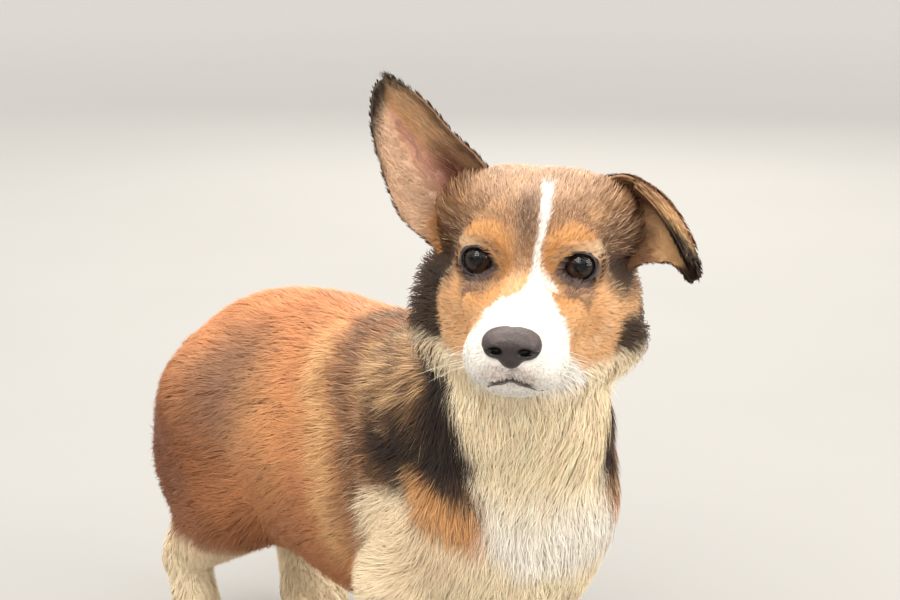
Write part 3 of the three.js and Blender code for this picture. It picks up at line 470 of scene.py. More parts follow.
# A slow wave that roughens the borders of markings and bends the hair in patches
def wave(p, size, seed):
    draw = np.random.default_rng(seed)
    total = np.zeros(len(p))
    for k in range(5):
        way = draw.normal(size=3)
        way /= np.linalg.norm(way)
        total += np.sin(p @ way * (6.28 / size) * (0.7 + 0.3 * k) + draw.uniform(0, 6.28)) / (1 + 0.3 * k)
    return total / 2.2


def blob(q, at, radii, soft=0.35):
    far = np.sqrt((((q - np.array(at)) / np.array(radii)) ** 2).sum(1))
    return 1 - step(far, 1 - soft, 1 + soft)


def shade(red, green, blue):  # an sRGB colour as linear numbers
    c = np.array([red, green, blue]) / 255
    return np.where(c < 0.04045, c / 12.92, ((c + 0.055) / 1.055) ** 2.4)


coatColours = {
    "red": shade(214, 146, 98), "redLight": shade(234, 174, 118), "redDark": shade(132, 78, 48),
    "cream": shade(255, 234, 200), "white": shade(248, 243, 235), "tan": shade(230, 180, 130),
    "brow": shade(216, 156, 96), "sable": shade(158, 116, 82), "black": shade(48, 38, 33),
    "grey": shade(146, 112, 92), "brown": shade(98, 70, 54), "gold": shade(230, 186, 132),
    "straw": shade(236, 208, 172), "earPale": shade(228, 194, 164),
    "earPink": shade(190, 140, 122), "earRed": shade(112, 54, 46),
    "lid": shade(106, 86, 78), "lip": shade(48, 40, 42), "pink": shade(190, 160, 152),
}


def painter(base, baseTips, count):  # a coat of one colour with dark tips, and the brush that paints on it
    on = {"colour": np.tile(coatColours[base], (count, 1)), "tips": np.full(count, baseTips)}

    def paint(mask, name, tipDark=None, strength=1.0):
        m = mask * strength
        on["colour"] = on["colour"] * (1 - m[:, None]) + coatColours[name] * m[:, None]
        if tipDark is not None:
            on["tips"] = on["tips"] * (1 - m) + tipDark * m

    return on, paint


def bodyMarkings(p, r1, r2, r3):
    w = p + np.column_stack([r1 * 3 + r2 * 1.5, wave(p, 30, 3) * 3, wave(p, 28, 4) * 3])
    flank = mirrored(w)
    y, z = w[:, 1], w[:, 2]
    on, paint = painter("red", 0.07, len(p))
    # Trunk: red, paler on the flank, greyer over the loin, darker behind the thigh and low on the flank,
    # partly the coat's own colour and partly painted shade
    paint(step(r1, -0.4, 1.0), "redLight", None, 0.3)
    paint(step(r3, 0.2, 1.0), "redDark", None, 0.16)
    paint(blob(flank, (58, 152, 186), (40, 30, 36), 0.6), "grey", 0.4, 0.75)
    paint(blob(flank, (70, 118, 170), (40, 24, 44), 0.7), "redLight", 0.1, 0.5)
    stripe = np.interp(z, [120, 164, 185, 203, 222, 235, 250], [34, 38, 42, 52, 63, 75, 84])
    paint(bell(y - stripe, 22, 9) * step(z, 96, 130) * (1 - step(z, 222, 236)), "gold", 0.05, 0.85)
    paint(bell(y, stripe, 12) * step(z, 100, 140), "brown", 0.8, 0.8)
    # Darker red low on the flank and behind the thigh: partly the coat's own colour, partly painted shade
    paint(blob(flank, (72, 200, 128), (36, 44, 46), 0.6), "redDark", 0.3, 0.85)
    paint(blob(flank, (70, 108, 130), (36, 44, 26), 0.7), "redDark", 0.2, 0.35)
    paint(blob(flank, (60, 244, 140), (60, 44, 66), 0.6), "redDark", 0.3, 0.95)
    paint(blob(flank, (66, 120, 96), (40, 70, 22), 0.6), "redDark", 0.3, 0.55)
    paint(1 - step(z - 0.10 * np.abs(p[:, 0]) ** 1.15, 66, 84), "cream", 0.0, 0.9)
    # Shoulders: tan with dark streaks above, black-brown below
    front = 1 - step(y - stripe, -18, -6)
    paint(front * step(z, 150, 165), "sable", 0.6)
    paint(front * step(z, 196, 210) * step(r3, -0.3, 0.7), "gold", 0.5, 0.8)
    paint(front * step(z, 190, 206) * step(-r3, 0.1, 0.9), "brown", 0.7, 0.8)
    paint(blob(flank, (66, -12, 188), (50, 44, 26), 0.35), "black", 0.85, 1.0)
    paint(blob(flank, (66, 6, 198), (50, 24, 10), 0.6) * step(r3, 0.0, 0.8), "sable", 0.5, 0.7)
    paint(blob(w, (-4, -6, 272), (72, 54, 30), 0.3), "black", 0.6, 0.7)
    slanted = np.column_stack([flank[:, 0], y, z - 0.5 * (y + 30)])
    paint(blob(slanted, (67, -30, 161), (24, 28, 8.5), 0.4), "brow", 0.15, 0.95)
    # White of the chest, between two angles round the neck at each height
    axisX = np.interp(z, [150, 180, 198, 220, 245], [-2, -5, -12, -15, -20])
    axisY = np.interp(z, [150, 180, 198, 220, 245], [-16, -20, -30, -38, -45])
    angle = np.degrees(np.arctan2(w[:, 0] - axisX, axisY - y))
    rightEdge = np.interp(z, [60, 100, 150, 165, 180, 198, 205, 218, 235, 245, 262],
                          [-80, -70, -58, -59, -62, -66, -72, -92, -112, -136, -150])
    leftEdge = np.interp(z, [60, 100, 140, 160, 200, 214, 245, 262], [80, 70, 52, 14, 12, 40, 60, 70])
    beside = step(angle, rightEdge - 46, rightEdge - 24) * (1 - step(angle, leftEdge + 12, leftEdge + 34))
    beside *= step(z, 172, 182) * (1 - step(z, 250, 262)) * (1 - step(y, 22, 40))
    paint(beside, "black", 0.85, 1.0)
    bib = step(angle, rightEdge - 5, rightEdge + 5) * (1 - step(angle, leftEdge - 5, leftEdge + 5))
    top = np.interp(np.abs(angle), [0, 60, 110, 150], [266, 256, 250, 246])
    paint(bib * (1 - step(z, top - 4, top + 4)) * (1 - step(y, 20, 40)), "cream", 0.0)
    paint(bib * (1 - step(z, 150, 190)) * (1 - step(y, -40, -20)), "white", 0.0, 0.8)
    # White forelegs up to the shoulder, and white hind feet
    foreTop = np.interp(y, [-50, -42, -5, 28, 40], [130, 141, 167, 164, 152])
    paint((1 - step(z, foreTop - 5, foreTop + 4)) * (1 - step(y, 30, 46)), "cream", 0.0)
    # The top of the foreleg is painted a darker straw cream: painted shade
    paint(blob(flank, (66, -6, 136), (26, 36, 26), 0.6), "straw", 0.0, 0.5)
    paint((1 - step(z, 52, 84)) * step(y, 90, 120), "cream", 0.0, 0.9)
    paint(blob(flank, (14, 190, 110), (26, 40, 50), 0.5), "cream", 0.0, 0.6)
    paint(blob(w, (0, 262, 166), (20, 18, 12), 0.5), "cream", 0.0, 0.5)
    paint((1 - step(p[:, 2], 3, 6)), "lip", 0.0)
    return on


# The head: sable crown, tan cheeks, orange brows, grey below the eyes, white muzzle and blaze
def headMarkings(p, h, r2):
    hw = h + np.column_stack([r2 * 0.5, wave(p, 11, 5) * 0.5, wave(p, 12, 6) * 0.5])
    side = mirrored(hw)
    on, paint = painter("sable", 0.5, len(p))
    paint(step(r2, -0.2, 0.9), "tan", 0.3, 0.35)
    # The crown is painted paler: partly paler hair, partly painted rim light on the top of the head
    paint(blob(hw, (0, 24, 37), (36, 24, 12), 0.6), "earPale", 0.1, 0.45)
    paint(blob(hw, (-1, 2, 20), (6, 15, 14), 0.5), "brown", 0.5, 0.75)
    paint(1 - step(side[:, 2] + 0.12 * side[:, 1], -9, 0), "tan", 0.1)
    paint(blob(side, (26, -10, -24), (14, 16, 12), 0.6), "brow", 0.1, 0.5)
    paint(blob(side, (44, 22, 5), (15, 18, 17), 0.5), "brown", 0.7, 0.75)
    paint(blob(side, (47, 18, -6), (13, 16, 12), 0.45), "black", 0.8, 0.85)
    paint(blob(side, (21, -6, 12), (14, 12, 8), 0.4), "brow", 0.1, 0.9)
    paint(blob(side, (14, -16, 2), (8, 12, 11), 0.4), "brow", 0.1, 0.85)
    paint(blob(side, (20, -26, -8), (12, 12, 9), 0.4), "brow", 0.1, 0.85)
    ringNear = lidRing(side)
    overEye = step(ringNear, 0.6, 2.4) * (1 - step(ringNear, 4.5, 7.5))
    overEye = overEye * step(side[:, 2], 1, 5) * (1 - step(side[:, 1], 4, 12))
    paint(overEye, "straw", 0.0, 0.4)
    paint(blob(side, (31, -2, 9), (8, 8, 3.5), 0.6), "straw", 0.0, 0.35)
    underEye = step(ringNear, 1.5, 3) * (1 - step(ringNear, 5, 8))
    underEye = underEye * (1 - step(side[:, 2], -7, -3)) * (1 - step(side[:, 1], 0, 8))
    paint(underEye, "brown", 0.3, 0.55)
    paint(blob(side, (16, -14, -3), (4, 8, 4), 0.7), "brown", 0.2, 0.6)
    paint(blob(side, (27, -9, -12), (8, 9, 5), 0.5) * step(r2, -0.9, 0.3), "grey", 0.7, 0.9)
    streak = limb(side, np.array((17.0, -23, -7)), np.array((31.0, -12, -17)), 1.5, 3.5)
    paint((1 - step(streak, -2, 3.5)) * step(r2, -1.2, 0.2), "brown", 0.5, 0.6)
    lowCheek = step(side[:, 0], 24, 32) * (1 - step(side[:, 2], -26, -18)) * step(r2, 0.2, 0.8)
    paint(lowCheek * (1 - step(side[:, 1], 10, 18)), "straw", 0.0, 0.35)
    behind = step(side[:, 1], 11, 18) * step(side[:, 2], -57, -51)
    onLeft = hw[:, 0] > 0
    behind *= 1 - step(side[:, 2], np.where(onLeft, -32, -14), np.where(onLeft, -24, -4))
    paint(behind * step(side[:, 0], 38, 45), "black", 0.85, 0.95)
    paint(step(side[:, 1] + 0.1 * side[:, 2], 46, 66), "black", 0.8, 0.6)
    underEar = step(side[:, 0], 34, 44) * step(side[:, 1], 26, 38)
    paint(underEar * (1 - step(side[:, 2], 4, 16)), "brown", 0.7, 0.6)
    paint(1 - step(side[:, 2] - 0.28 * (side[:, 0] - 24), -55, -48), "cream", 0.0)
    # Blaze and white muzzle, from the blaze's middle and half width at each height
    zz = hw[:, 2]
    middle = np.interp(zz, [-30, -23, -17, -11, -8, -4, 5, 25, 37], [2, 1.6, 1.6, 3.6, 5.6, 6.4, 5.0, 7, 6])
    half = np.interp(zz, [-30, -23, -17, -11, -8, -4, 2, 14, 26, 36, 39],
                     [27, 20.5, 17, 11.5, 6.8, 3.2, 1.9, 1.5, 2.4, 3.4, 0])
    across = np.abs(hw[:, 0] - middle) - half
    backEdge = -34 + 0.22 * hw[:, 0] + np.maximum(-34 - zz, 0) * 1.6
    farBack = backEdge + (22 - backEdge) * step(zz, -22, -9)
    whiteness = np.interp(zz, [-10, 2, 30], [1, 0.85, 0.9])
    paint((1 - step(across, -1.2, 1.2)) * (1 - step(hw[:, 1] - farBack, -4, 4)), "white", 0.0, whiteness)
    # Bare skin: lids, and the freckled skin under the nose, whose greyish pink is partly the skin's own
    # colour and partly painted shade
    q = mirrored(h)
    ring = lidRing(q)
    onFront = 1 - step(q[:, 1], 0, 8)
    rimWidth = np.interp(q[:, 2], [-8, -2, 4], [3.6, 2.6, 1.0])
    paint((1 - step(ring, rimWidth - 0.6, rimWidth + 0.9)) * onFront, "lid", 0.0)
    # Greyish pink under the nose: partly the skin's own colour, partly painted shade cast by the nose
    under = blob(q, (0, -60, -42), (14, 12, 6.5), 0.4)
    paint(under * (0.35 + 0.3 * step(wave(p, 2.4, 9), -0.2, 0.5)), "pink", 0.0, 0.8)
    paint(under * step(wave(p, 1.9, 10), 0.55, 0.8), "lip", 0.0, 0.35)
    paint((1 - step(farFromLips(q), 1.0, 2.2)) * (1 - step(q[:, 0], 8, 13)), "lip", 0.0, 0.9)
    return on


# Colour of the coat at each point, and how dark the tips of the hairs are there
def markings(p):
    h = toHead(p)
    r1, r2, r3 = wave(p, 34, 1), wave(p, 13, 2), wave(p * (1, 0.35, 1.2), 9, 7)
    body, face = bodyMarkings(p, r1, r2, r3), headMarkings(p, h, r2)
    head = 1 - step(headField(h) + 0.4 * (h[:, 1] - 40), 4, 20)
    head = head * step(h[:, 2] - 0.3 * np.maximum(h[:, 1], 0), -66, -56)
    colour = body["colour"] * (1 - head[:, None]) + face["colour"] * head[:, None]
    return colour, body["tips"] * (1 - head) + face["tips"] * head


# Which way the hair lies on the skin
def lieOfCoat(p, normal):
    h = toHead(p)
    onHead = 1 - step(headField(h), 0, 14)
    low = 1 - step(p[:, 2], 70, 110)
    front = 1 - step(p[:, 1], -40, 30)
    down = np.maximum(low, front)
    way = np.column_stack([np.zeros(len(p)), 1 - 0.85 * down, -0.42 - 0.58 * down])
    way[:, 0] += wave(p, 60, 21) * 0.2 + wave(p, 17, 24) * 0.2
    way[:, 2] += wave(p, 55, 22) * 0.2 + wave(p, 19, 25) * 0.2
    way[:, 1] -= 0.5 * (1 - step(p[:, 2], 18, 40))
    way[:, 2] -= 1.2 * step(p[:, 1], 226, 250)
    back = h - np.array([0, -66, -25])
    back /= np.linalg.norm(back, axis=1)[:, None]
    back[:, 0] += wave(p, 16, 23) * 0.12
    back[:, 2] -= 0.5 * step(h[:, 1], 10, 30) * (1 - step(h[:, 2], -30, 0))
    way = way * (1 - onHead[:, None]) + (back @ turning.T) * onHead[:, None]
    way -= normal * (way * normal).sum(1)[:, None]
    return way / np.maximum(np.linalg.norm(way, axis=1), 1e-6)[:, None]


# Length of the hairs, width of a blade, height of the tips over the skin, tufts to a square centimetre
coatKinds = {
    "body": (17, 0.4, 7.0, 15), "legs": (9, 0.34, 3.4, 20), "belly": (20, 0.42, 7, 12),
    "feet": (6, 0.3, 1.8, 20), "chest": (28, 0.42, 8.4, 15), "rear": (26, 0.42, 8.5, 14),
    "collar": (30, 0.42, 10.5, 15),
}


def faceCoat(h):
    x, y, z = np.abs(h[:, 0]), h[:, 1], h[:, 2]
    long = 6.5 + 5 * step(y, 10, 30) + 10 * step(y, 12, 46) * (1 - step(z, -14, 14))
    long += 14 * step(y, 30, 56) * (1 - step(z, -24, 6))
    beside = step(x, 36, 44) * step(y, 10, 22) * (1 - step(z, -16, 8)) * step(z, -66, -52)
    beside *= np.where(h[:, 0] > 0, 0.6 * (1 - step(z, -38, -24)), 1.0)
    nearEar = step(x, 26, 38) * step(y, 14, 26) * step(z, -6, 6)
    long += 7 * nearEar
    long += 10 * beside
    long += 8 * (1 - step(z, -58, -44)) * step(y, -20, 10)
    long += (3.4 - long) * (1 - step(y, -20, 4)) * step(z, -46, -38)
    long += (2.3 - long) * (1 - step(y, -56, -36))
    width = np.clip(0.22 + 0.016 * long, 0.24, 0.5)
    height = np.clip(long * 0.36, 0.8, 9) + 7 * beside + 3.5 * nearEar
    return long, width, height, np.clip(64 - 3 * long, 14, 56)


def coatOf(p):
    h = toHead(p)
    y, z = p[:, 1], p[:, 2]
    onHead = 1 - step(headField(h), 0, 14)
    low = 1 - step(z, 66, 118)
    masks = {
        "legs": low,
        "belly": (1 - step(z, 76, 100)) * step(y, 20, 50) * (1 - step(y, 170, 200)) * (1 - 0.5 * low),
        "feet": 1 - step(z, 20, 44),
        "chest": (1 - step(y, -44, 0)) * step(z, 84, 120),
        "rear": step(y, 196, 226) * step(z, 70, 100) * (1 - step(z, 176, 200)),
        "collar": (1 - step(neckField(p), 4, 22)) * step(z, 196, 226) * (1 - step(y, 12, 44)),
    }
    found = []
    for k, face in enumerate(faceCoat(h)):
        value = np.full(len(p), float(coatKinds["body"][k]))
        for kind, mask in masks.items():
            value += (coatKinds[kind][k] - value) * mask
        found.append(value + (face - value) * onHead)
    length, width, height, number = found
    height = height * (1 - 0.35 * (1 - step(y, 84, 140)) * step(z, 216, 236) * (1 - onHead))
    stub = 1 - step(tailField(p), -2, 10)
    return length * (1 - 0.35 * stub), width, height * (1 - 0.4 * stub), number * (1 + 1.2 * stub)


def noHair(p):  # the eyes, their lids, the nose, the lips' line and the soles stay bare
    h = toHead(p)
    q = mirrored(h)
    bareRim = np.interp(q[:, 2], [-8, -2, 4], [2.4, 1.8, 0.7])
    aroundEye = (lidRing(q) < bareRim) & (q[:, 1] < 6)
    onNose = ellipsoid(q, (0, -59, -27.5), (14.2, 10, 9.6)) < 0
    return aroundEye | onNose | ((farFromLips(q) < 1.0) & (q[:, 0] < 11)) | (p[:, 2] < 1.5)


# The mouth's line sits on the closed skin
finer = [a + (b - a) * t for a, b in zip(lips, lips[1:]) for t in (0, 0.5)] + [lips[-1]]
onSkin = toHead(settle(fromHead(np.array(finer)), closedSkin, 6, 3))
lips = [np.array((q[0] * (k < len(onSkin) - 1), q[1], q[2])) for k, q in enumerate(onSkin)]

# The skin, finer over the face and finest round the eyes and the mouth
skinGrid = {"low": (-134, -155, 0), "high": (100, 285, 350), "cell": 2.4, "coarseCell": 9}
skinPoints, skinQuads = fieldMesh(skinField, skinGrid["low"], skinGrid["high"], skinGrid["cell"])
print("stage: skin", len(skinPoints), "points")
skin = meshObject("skin", skinPoints, skinQuads)
fine = bmesh.new()
fine.from_mesh(skin.data)
for part in ("face", "eyes and mouth"):
    middles = np.array([f.calc_center_median() for f in fine.faces])
    h = toHead(middles)
    q = mirrored(h)
    if part == "face":
        close = (h[:, 1] < 8) & (headField(h) < 6)
    else:
        close = (np.linalg.norm(q - (25, -2, 0), axis=1) < 15) | (farFromLips(q) < 4)
    chosen = [f for f, yes in zip(fine.faces, close) if yes]
    edges = list({e for f in chosen for e in f.edges})
    bmesh.ops.subdivide_edges(fine, edges=edges, cuts=1, use_grid_fill=True)
bmesh.ops.triangulate(fine, faces=[f for f in fine.faces if len(f.verts) > 4])
fine.to_mesh(skin.data)
fine.free()
skinPoints = pointsOf(skin)
onFace = toHead(skinPoints)[:, 1] < 14
skinPoints[onFace] = settle(skinPoints[onFace], skinField, 3, 1)
setPoints(skin, skinPoints)
setColours(skin.data, markings(skinPoints)[0] * 0.85)
print("stage: skin made finer", len(skinPoints))

# Ears: thin shells over three curves each, as in the CAD, in finer steps and with their folds
ears = {
    "right": {
        "crown": [[-23, 34, 34], [-31, 32, 45], [-45, 29, 58], [-56, 27, 70], [-66, 26, 78], [-73, 27, 81]],
        "cup": [[-34, 44, 14], [-48, 46, 26], [-59, 42, 38], [-69, 37, 55], [-77, 32, 70], [-80, 28, 83]],
        "cheek": [[-42, 24, -8], [-53, 20, 3], [-66, 18, 15], [-76, 19, 37], [-83, 23, 61], [-83, 26, 77]],
    },
    "left": {
        "crown": [[26, 34, 32], [36, 32, 39], [45, 31, 38], [57, 28, 29], [69, 23, 15], [80, 15, -1]],
        "cup": [[36, 44, 14], [49, 45, 20], [63, 41, 21], [72, 35, 13], [78, 26, 3], [81, 17, -6]],
        "cheek": [[42, 26, -8], [54, 21, -1], [61, 20, 0], [67, 21, 1], [73, 19, -2], [79, 14, -6]],
    },
}
earGrid = {
    "across": 26, "along": 44, "thickness": 1.5, "rim": 1.0, "inset": 1.0, "ridge": 0.8,
    "ridgesAt": (0.3, 0.44, 0.6),
}


def curveAt(points, v):  # a smooth curve through the points, at many places along it
    points = np.asarray(points, float)
    ends = np.vstack([2 * points[0] - points[1], points, 2 * points[-1] - points[-2]])
    t = np.clip(v, 0, 1) * (len(points) - 1)
    k = np.minimum(t.astype(int), len(points) - 2)
    t = (t - k)[:, None]
    a, b, c, d = (ends[k + i] for i in range(4))
    bend, twist = 2 * a - 5 * b + 4 * c - d, 3 * b - a - 3 * c + d
    return 0.5 * (2 * b + (c - a) * t + bend * t ** 2 + twist * t ** 3)


def earSheet(name, u, v):  # the front of the ear, in the frame of the head
    a, b, c = (curveAt(ears[name][key], v) for key in ("crown", "cup", "cheek"))
    u = u[:, None]
    return a * (1 - u) * (1 - 2 * u) + b * 4 * u * (1 - u) + c * u * (2 * u - 1)


def earFrame(name, u, v):  # place, slope across, slope along, and the way out of the ear's back
    p = earSheet(name, u, v)
    du = (earSheet(name, u + 0.02, v) - earSheet(name, u - 0.02, v)) / 0.04
    ahead, behind = np.minimum(v + 0.02, 1), np.maximum(v - 0.02, 0)
    dv = (earSheet(name, u, ahead) - earSheet(name, u, behind)) / (ahead - behind)[:, None]
    back = np.cross(du, dv)
    back /= np.linalg.norm(back, axis=1)[:, None]
    back *= np.where(back[:, 1] < 0, -1, 1)[:, None]
    return p, du, dv, back


# Colour of an ear at places across and along it, inside (layer 0) and outside (layer 1)
def earColours(name, u, v, layer):
    rough = np.column_stack([u * 60, v * 90, np.full(len(u), layer * 50.0 + (name == "left") * 9)])
    r = wave(rough, 22, 31) * 0.04
    on, paint = painter("tan" if layer == 0 else "sable", 0.0, len(u))
    if layer == 0 and name == "left":
        paint(step(v + r, 0.16, 0.36), "gold", None, 0.9)
        # Dark red at the base of the inner side: partly the ear's own deep red skin, partly painted shade in
        # its opening
        paint(bell(u, 0.3, 0.24) * (1 - step(v + r, 0.26, 0.46)), "earRed", None, 0.95)
        paint(step(u + r, 0.55, 0.75) * (1 - step(v + r, 0.2, 0.4)), "brown", None, 0.8)
        paint(step(u + r, 0.66, 0.84), "redDark", None, 0.3)
    elif layer == 0:
        paint(1 - step(u + r, 0.2, 0.4), "straw", None, 0.3)
        paint(step(u + r, 0.5, 0.65), "earPale", None, 0.85)
        middle = np.interp(v, [0, 0.3, 0.8], [0.42, 0.46, 0.55])
        width = np.interp(v, [0, 0.3, 0.6, 0.85], [0.2, 0.16, 0.09, 0.04])
        paint(bell(u, middle, width) * (1 - step(v, 0.7, 0.86)), "earPink", None, 0.95)
        # Dark red at the base of the inner side: partly the ear's own deep red skin, partly painted shade in
        # its opening
        paint(bell(u, 0.3, 0.2) * (1 - step(v + r, 0.2, 0.4)), "earRed", None, 0.95)
        paint(step(u + r, 0.5, 0.66) * (1 - step(v + r, 0.12, 0.24)), "brow", None, 0.9)
        paint(np.exp(-((u - 0.8) / 0.1) ** 2 - ((v - 0.07) / 0.05) ** 2), "black", None, 0.8)
    else:
        paint(step(u + r, 0.3, 0.7), "redDark", None, 0.5)
        paint(1 - step(v + r, 0.1, 0.3), "redDark", None, 0.6)
        paint(bell(u, 0.5, 0.24) * (1 - step(v, 0.6, 0.85)), "tan", None, 0.3)
    edge, strength = (0.01 if layer == 0 else 0.05), (0.45 if name == "left" else 1.0)
    paint(1 - step(u + r, edge, edge + 0.09), "brown", None, 0.75 * strength)
    paint((1 - step(u + r, edge - 0.02, edge + 0.05)) * step(r, -0.02, 0.03), "black", None, 0.6 * strength)
    paint(step(u + r, 0.94, 1.0), "brown", None, 0.7)
    reach = 0.66 if name == "left" else 0.72
    paint(step(v + r + 0.16 * np.abs(u - 0.45), reach, reach + 0.2), "black", None, 0.95)
    return on["colour"]


def shellFaces(n, m):  # faces of a closed shell of two sheets, each of n by m cells
    def at(layer, i, j):
        return (layer * (m + 1) + j) * (n + 1) + i

    faces = []
    for j in range(m):
        for i in range(n):
            faces.append((at(0, i, j), at(0, i + 1, j), at(0, i + 1, j + 1), at(0, i, j + 1)))
            faces.append((at(1, i, j), at(1, i, j + 1), at(1, i + 1, j + 1), at(1, i + 1, j)))
    for i in range(n):
        faces.append((at(0, i, 0), at(1, i, 0), at(1, i + 1, 0), at(0, i + 1, 0)))
        faces.append((at(0, i, m), at(0, i + 1, m), at(1, i + 1, m), at(1, i, m)))
    for j in range(m):
        faces.append((at(0, 0, j), at(0, 0, j + 1), at(1, 0, j + 1), at(1, 0, j)))
        faces.append((at(0, n, j), at(1, n, j), at(1, n, j + 1), at(0, n, j + 1)))
    return faces


def gridOver(across, along, n, m):  # places over a sheet, row by row
    return (g.ravel() for g in np.meshgrid(np.linspace(*across, n + 1), np.linspace(*along, m + 1)))


earPieces = []
for name in ears:
    n, m = earGrid["across"], earGrid["along"]
    u, v = gridOver((0.03, 0.97), (0, 0.985), n, m)
    p, _, _, back = earFrame(name, u, v)
    thick = earGrid["rim"] + (earGrid["thickness"] - earGrid["rim"]) * np.sin(np.pi * u)
    ridges = sum(bell(u - at, 0.12 * v, 0.035) for at in earGrid["ridgesAt"]) * (1 - step(v, 0.12, 0.36))
    inner = p + back * (earGrid["inset"] - earGrid["ridge"] * ridges)[:, None]
    outer = p + back * (earGrid["inset"] + thick)[:, None]
    faces = shellFaces(n, m)
    piece = meshObject("ear_" + name, fromHead(np.concatenate([inner, outer])), faces)
    facedOut(piece)
    setColours(piece.data, np.concatenate([earColours(name, u, v, 0), earColours(name, u, v, 1)]) * 0.9)
    earPieces.append(piece)
selectOnly(*earPieces, skin)
bpy.ops.object.join()
skin.data.shade_smooth()
setPoints(skin, toScene(pointsOf(skin)))
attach(skin, "root")
flesh = ["head", "neck", "chest", "barrel", "rump", "tail"]
for part in ("ear", "foreleg", "hindleg", "paw_foreleg", "paw_hindleg"):
    flesh += [part + "_right", part + "_left"]
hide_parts(*flesh)
print("stage: ears")

# A coarse copy of the skin and of the ears' two sides carries the unwrap on which each tuft has
# its small patch
coarsePoints, coarseQuads = fieldMesh(skinField, skinGrid["low"], skinGrid["high"], skinGrid["coarseCell"])
earCoarse = {"across": 8, "along": 14}
earStart = {}
for name in ears:
    for layer in (0, 1):
        n, m = earCoarse["across"], earCoarse["along"]
        u, v = gridOver((0, 1), (0, 1), n, m)
        sheet = earSheet(name, u, v) + earFrame(name, u, v)[3] * (4 * layer)
        corner = (np.arange(m)[:, None] * (n + 1) + np.arange(n)[None]).ravel() + len(coarsePoints)
        earStart[name, layer] = len(coarseQuads)
        quads = np.column_stack([corner, corner + 1, corner + n + 2, corner + n + 1])
        coarseQuads = np.vstack([coarseQuads, quads])
        coarsePoints = np.vstack([coarsePoints, fromHead(sheet)])
bodyQuads = earStart["right", 0]
unwrap = meshObject("unwrap", coarsePoints, coarseQuads)
selectOnly(unwrap)
bpy.ops.object.mode_set(mode="EDIT")
bpy.ops.mesh.select_all(action="SELECT")
bpy.ops.uv.smart_project(angle_limit=math.radians(66), island_margin=0.004)
bpy.ops.object.mode_set(mode="OBJECT")
unwrapUv = np.zeros(len(unwrap.data.loops) * 2)
unwrap.data.uv_layers.active.data.foreach_get("uv", unwrapUv)
unwrapUv = unwrapUv.reshape(-1, 4, 2)
unwrapTree = kdtree.KDTree(bodyQuads)
for i, place in enumerate(coarsePoints[coarseQuads[:bodyQuads]].mean(1)):
    unwrapTree.insert(place, i)
unwrapTree.balance()
bpy.data.objects.remove(unwrap)


def patchOf(roots, found=None):  # each root's place on the unwrap
    if found is None:
        found = np.array([unwrapTree.find(p)[1] for p in roots])
    quads = coarseQuads[found]
    far = np.linalg.norm(coarsePoints[quads] - roots[:, None], axis=2)
    share = 1 / (far ** 2 + 0.5)
    share /= share.sum(1)[:, None]
    return (unwrapUv[found] * share[:, :, None]).sum(1)


print("stage: unwrap")


# Materials. Two groups are shared: uneven tone, and the fine creases of bare skin
def newGroup(name, inputs, outputs):
    group = bpy.data.node_groups.new(name, "ShaderNodeTree")
    for label, kind in inputs:
        group.interface.new_socket(label, in_out="INPUT", socket_type=kind)
    for label, kind in outputs:
        group.interface.new_socket(label, in_out="OUTPUT", socket_type=kind)
    return group, group.nodes.new("NodeGroupInput"), group.nodes.new("NodeGroupOutput")


def addNode(tree, kind, values=(), **settings):  # a node with its settings and the values of its inputs
    node = tree.nodes.new("ShaderNode" + kind)
    for key, value in settings.items():
        setattr(node, key, value)
    for key, value in dict(values).items():
        node.inputs[key].default_value = value
    return node


def wire(tree, *rows):  # each row is a node, its output, the next node, and that one's input
    for source, output, target, socket in rows:
        tree.links.new(source.outputs[output], target.inputs[socket])


toneGroup, toneIn, toneOut = newGroup(
    "uneven tone",
    [("Colour", "NodeSocketColor"), ("Scale", "NodeSocketFloat"), ("Amount", "NodeSocketFloat")],
    [("Colour", "NodeSocketColor"), ("Roughness", "NodeSocketFloat")])
where = addNode(toneGroup, "TexCoord")
noise = addNode(toneGroup, "TexNoise", {"Detail": 5})
centred = addNode(toneGroup, "Math", {1: 0.5}, operation="SUBTRACT")
scaled = addNode(toneGroup, "Math", {2: 1}, operation="MULTIPLY_ADD")
toned = addNode(toneGroup, "VectorMath", operation="SCALE")
rough = addNode(toneGroup, "MapRange", {"From Min": 0.3, "From Max": 0.7, "To Min": 0.5, "To Max": 0.72})
wire(toneGroup,
     (where, "Object", noise, "Vector"), (toneIn, "Scale", noise, "Scale"),
     (noise, "Fac", centred, 0), (centred, 0, scaled, 0), (toneIn, "Amount", scaled, 1),
     (toneIn, "Colour", toned, 0), (scaled, 0, toned, "Scale"), (toned, 0, toneOut, "Colour"),
     (noise, "Fac", rough, "Value"), (rough, "Result", toneOut, "Roughness"))

grainGroup, grainIn, grainOut = newGroup(
    "skin grain", [("Scale", "NodeSocketFloat")], [("Height", "NodeSocketFloat")])
where = addNode(grainGroup, "TexCoord")
cells = addNode(grainGroup, "TexVoronoi", feature="SMOOTH_F1")
noise = addNode(grainGroup, "TexNoise", {"Detail": 6})
both = addNode(grainGroup, "Math", operation="ADD")
wire(grainGroup,
     (where, "Object", cells, "Vector"), (where, "Object", noise, "Vector"),
     (grainIn, "Scale", cells, "Scale"), (grainIn, "Scale", noise, "Scale"),
     (cells, "Distance", both, 0), (noise, "Fac", both, 1), (both, 0, grainOut, "Height"))


def newMaterial(name, roughness, specular=0.3):
    material = bpy.data.materials.new(name)
    material.use_nodes = True
    shader = material.node_tree.nodes["Principled BSDF"]
    shader.inputs["Roughness"].default_value = roughness
    shader.inputs["Specular IOR Level"].default_value = specular
    return material, material.node_tree, shader


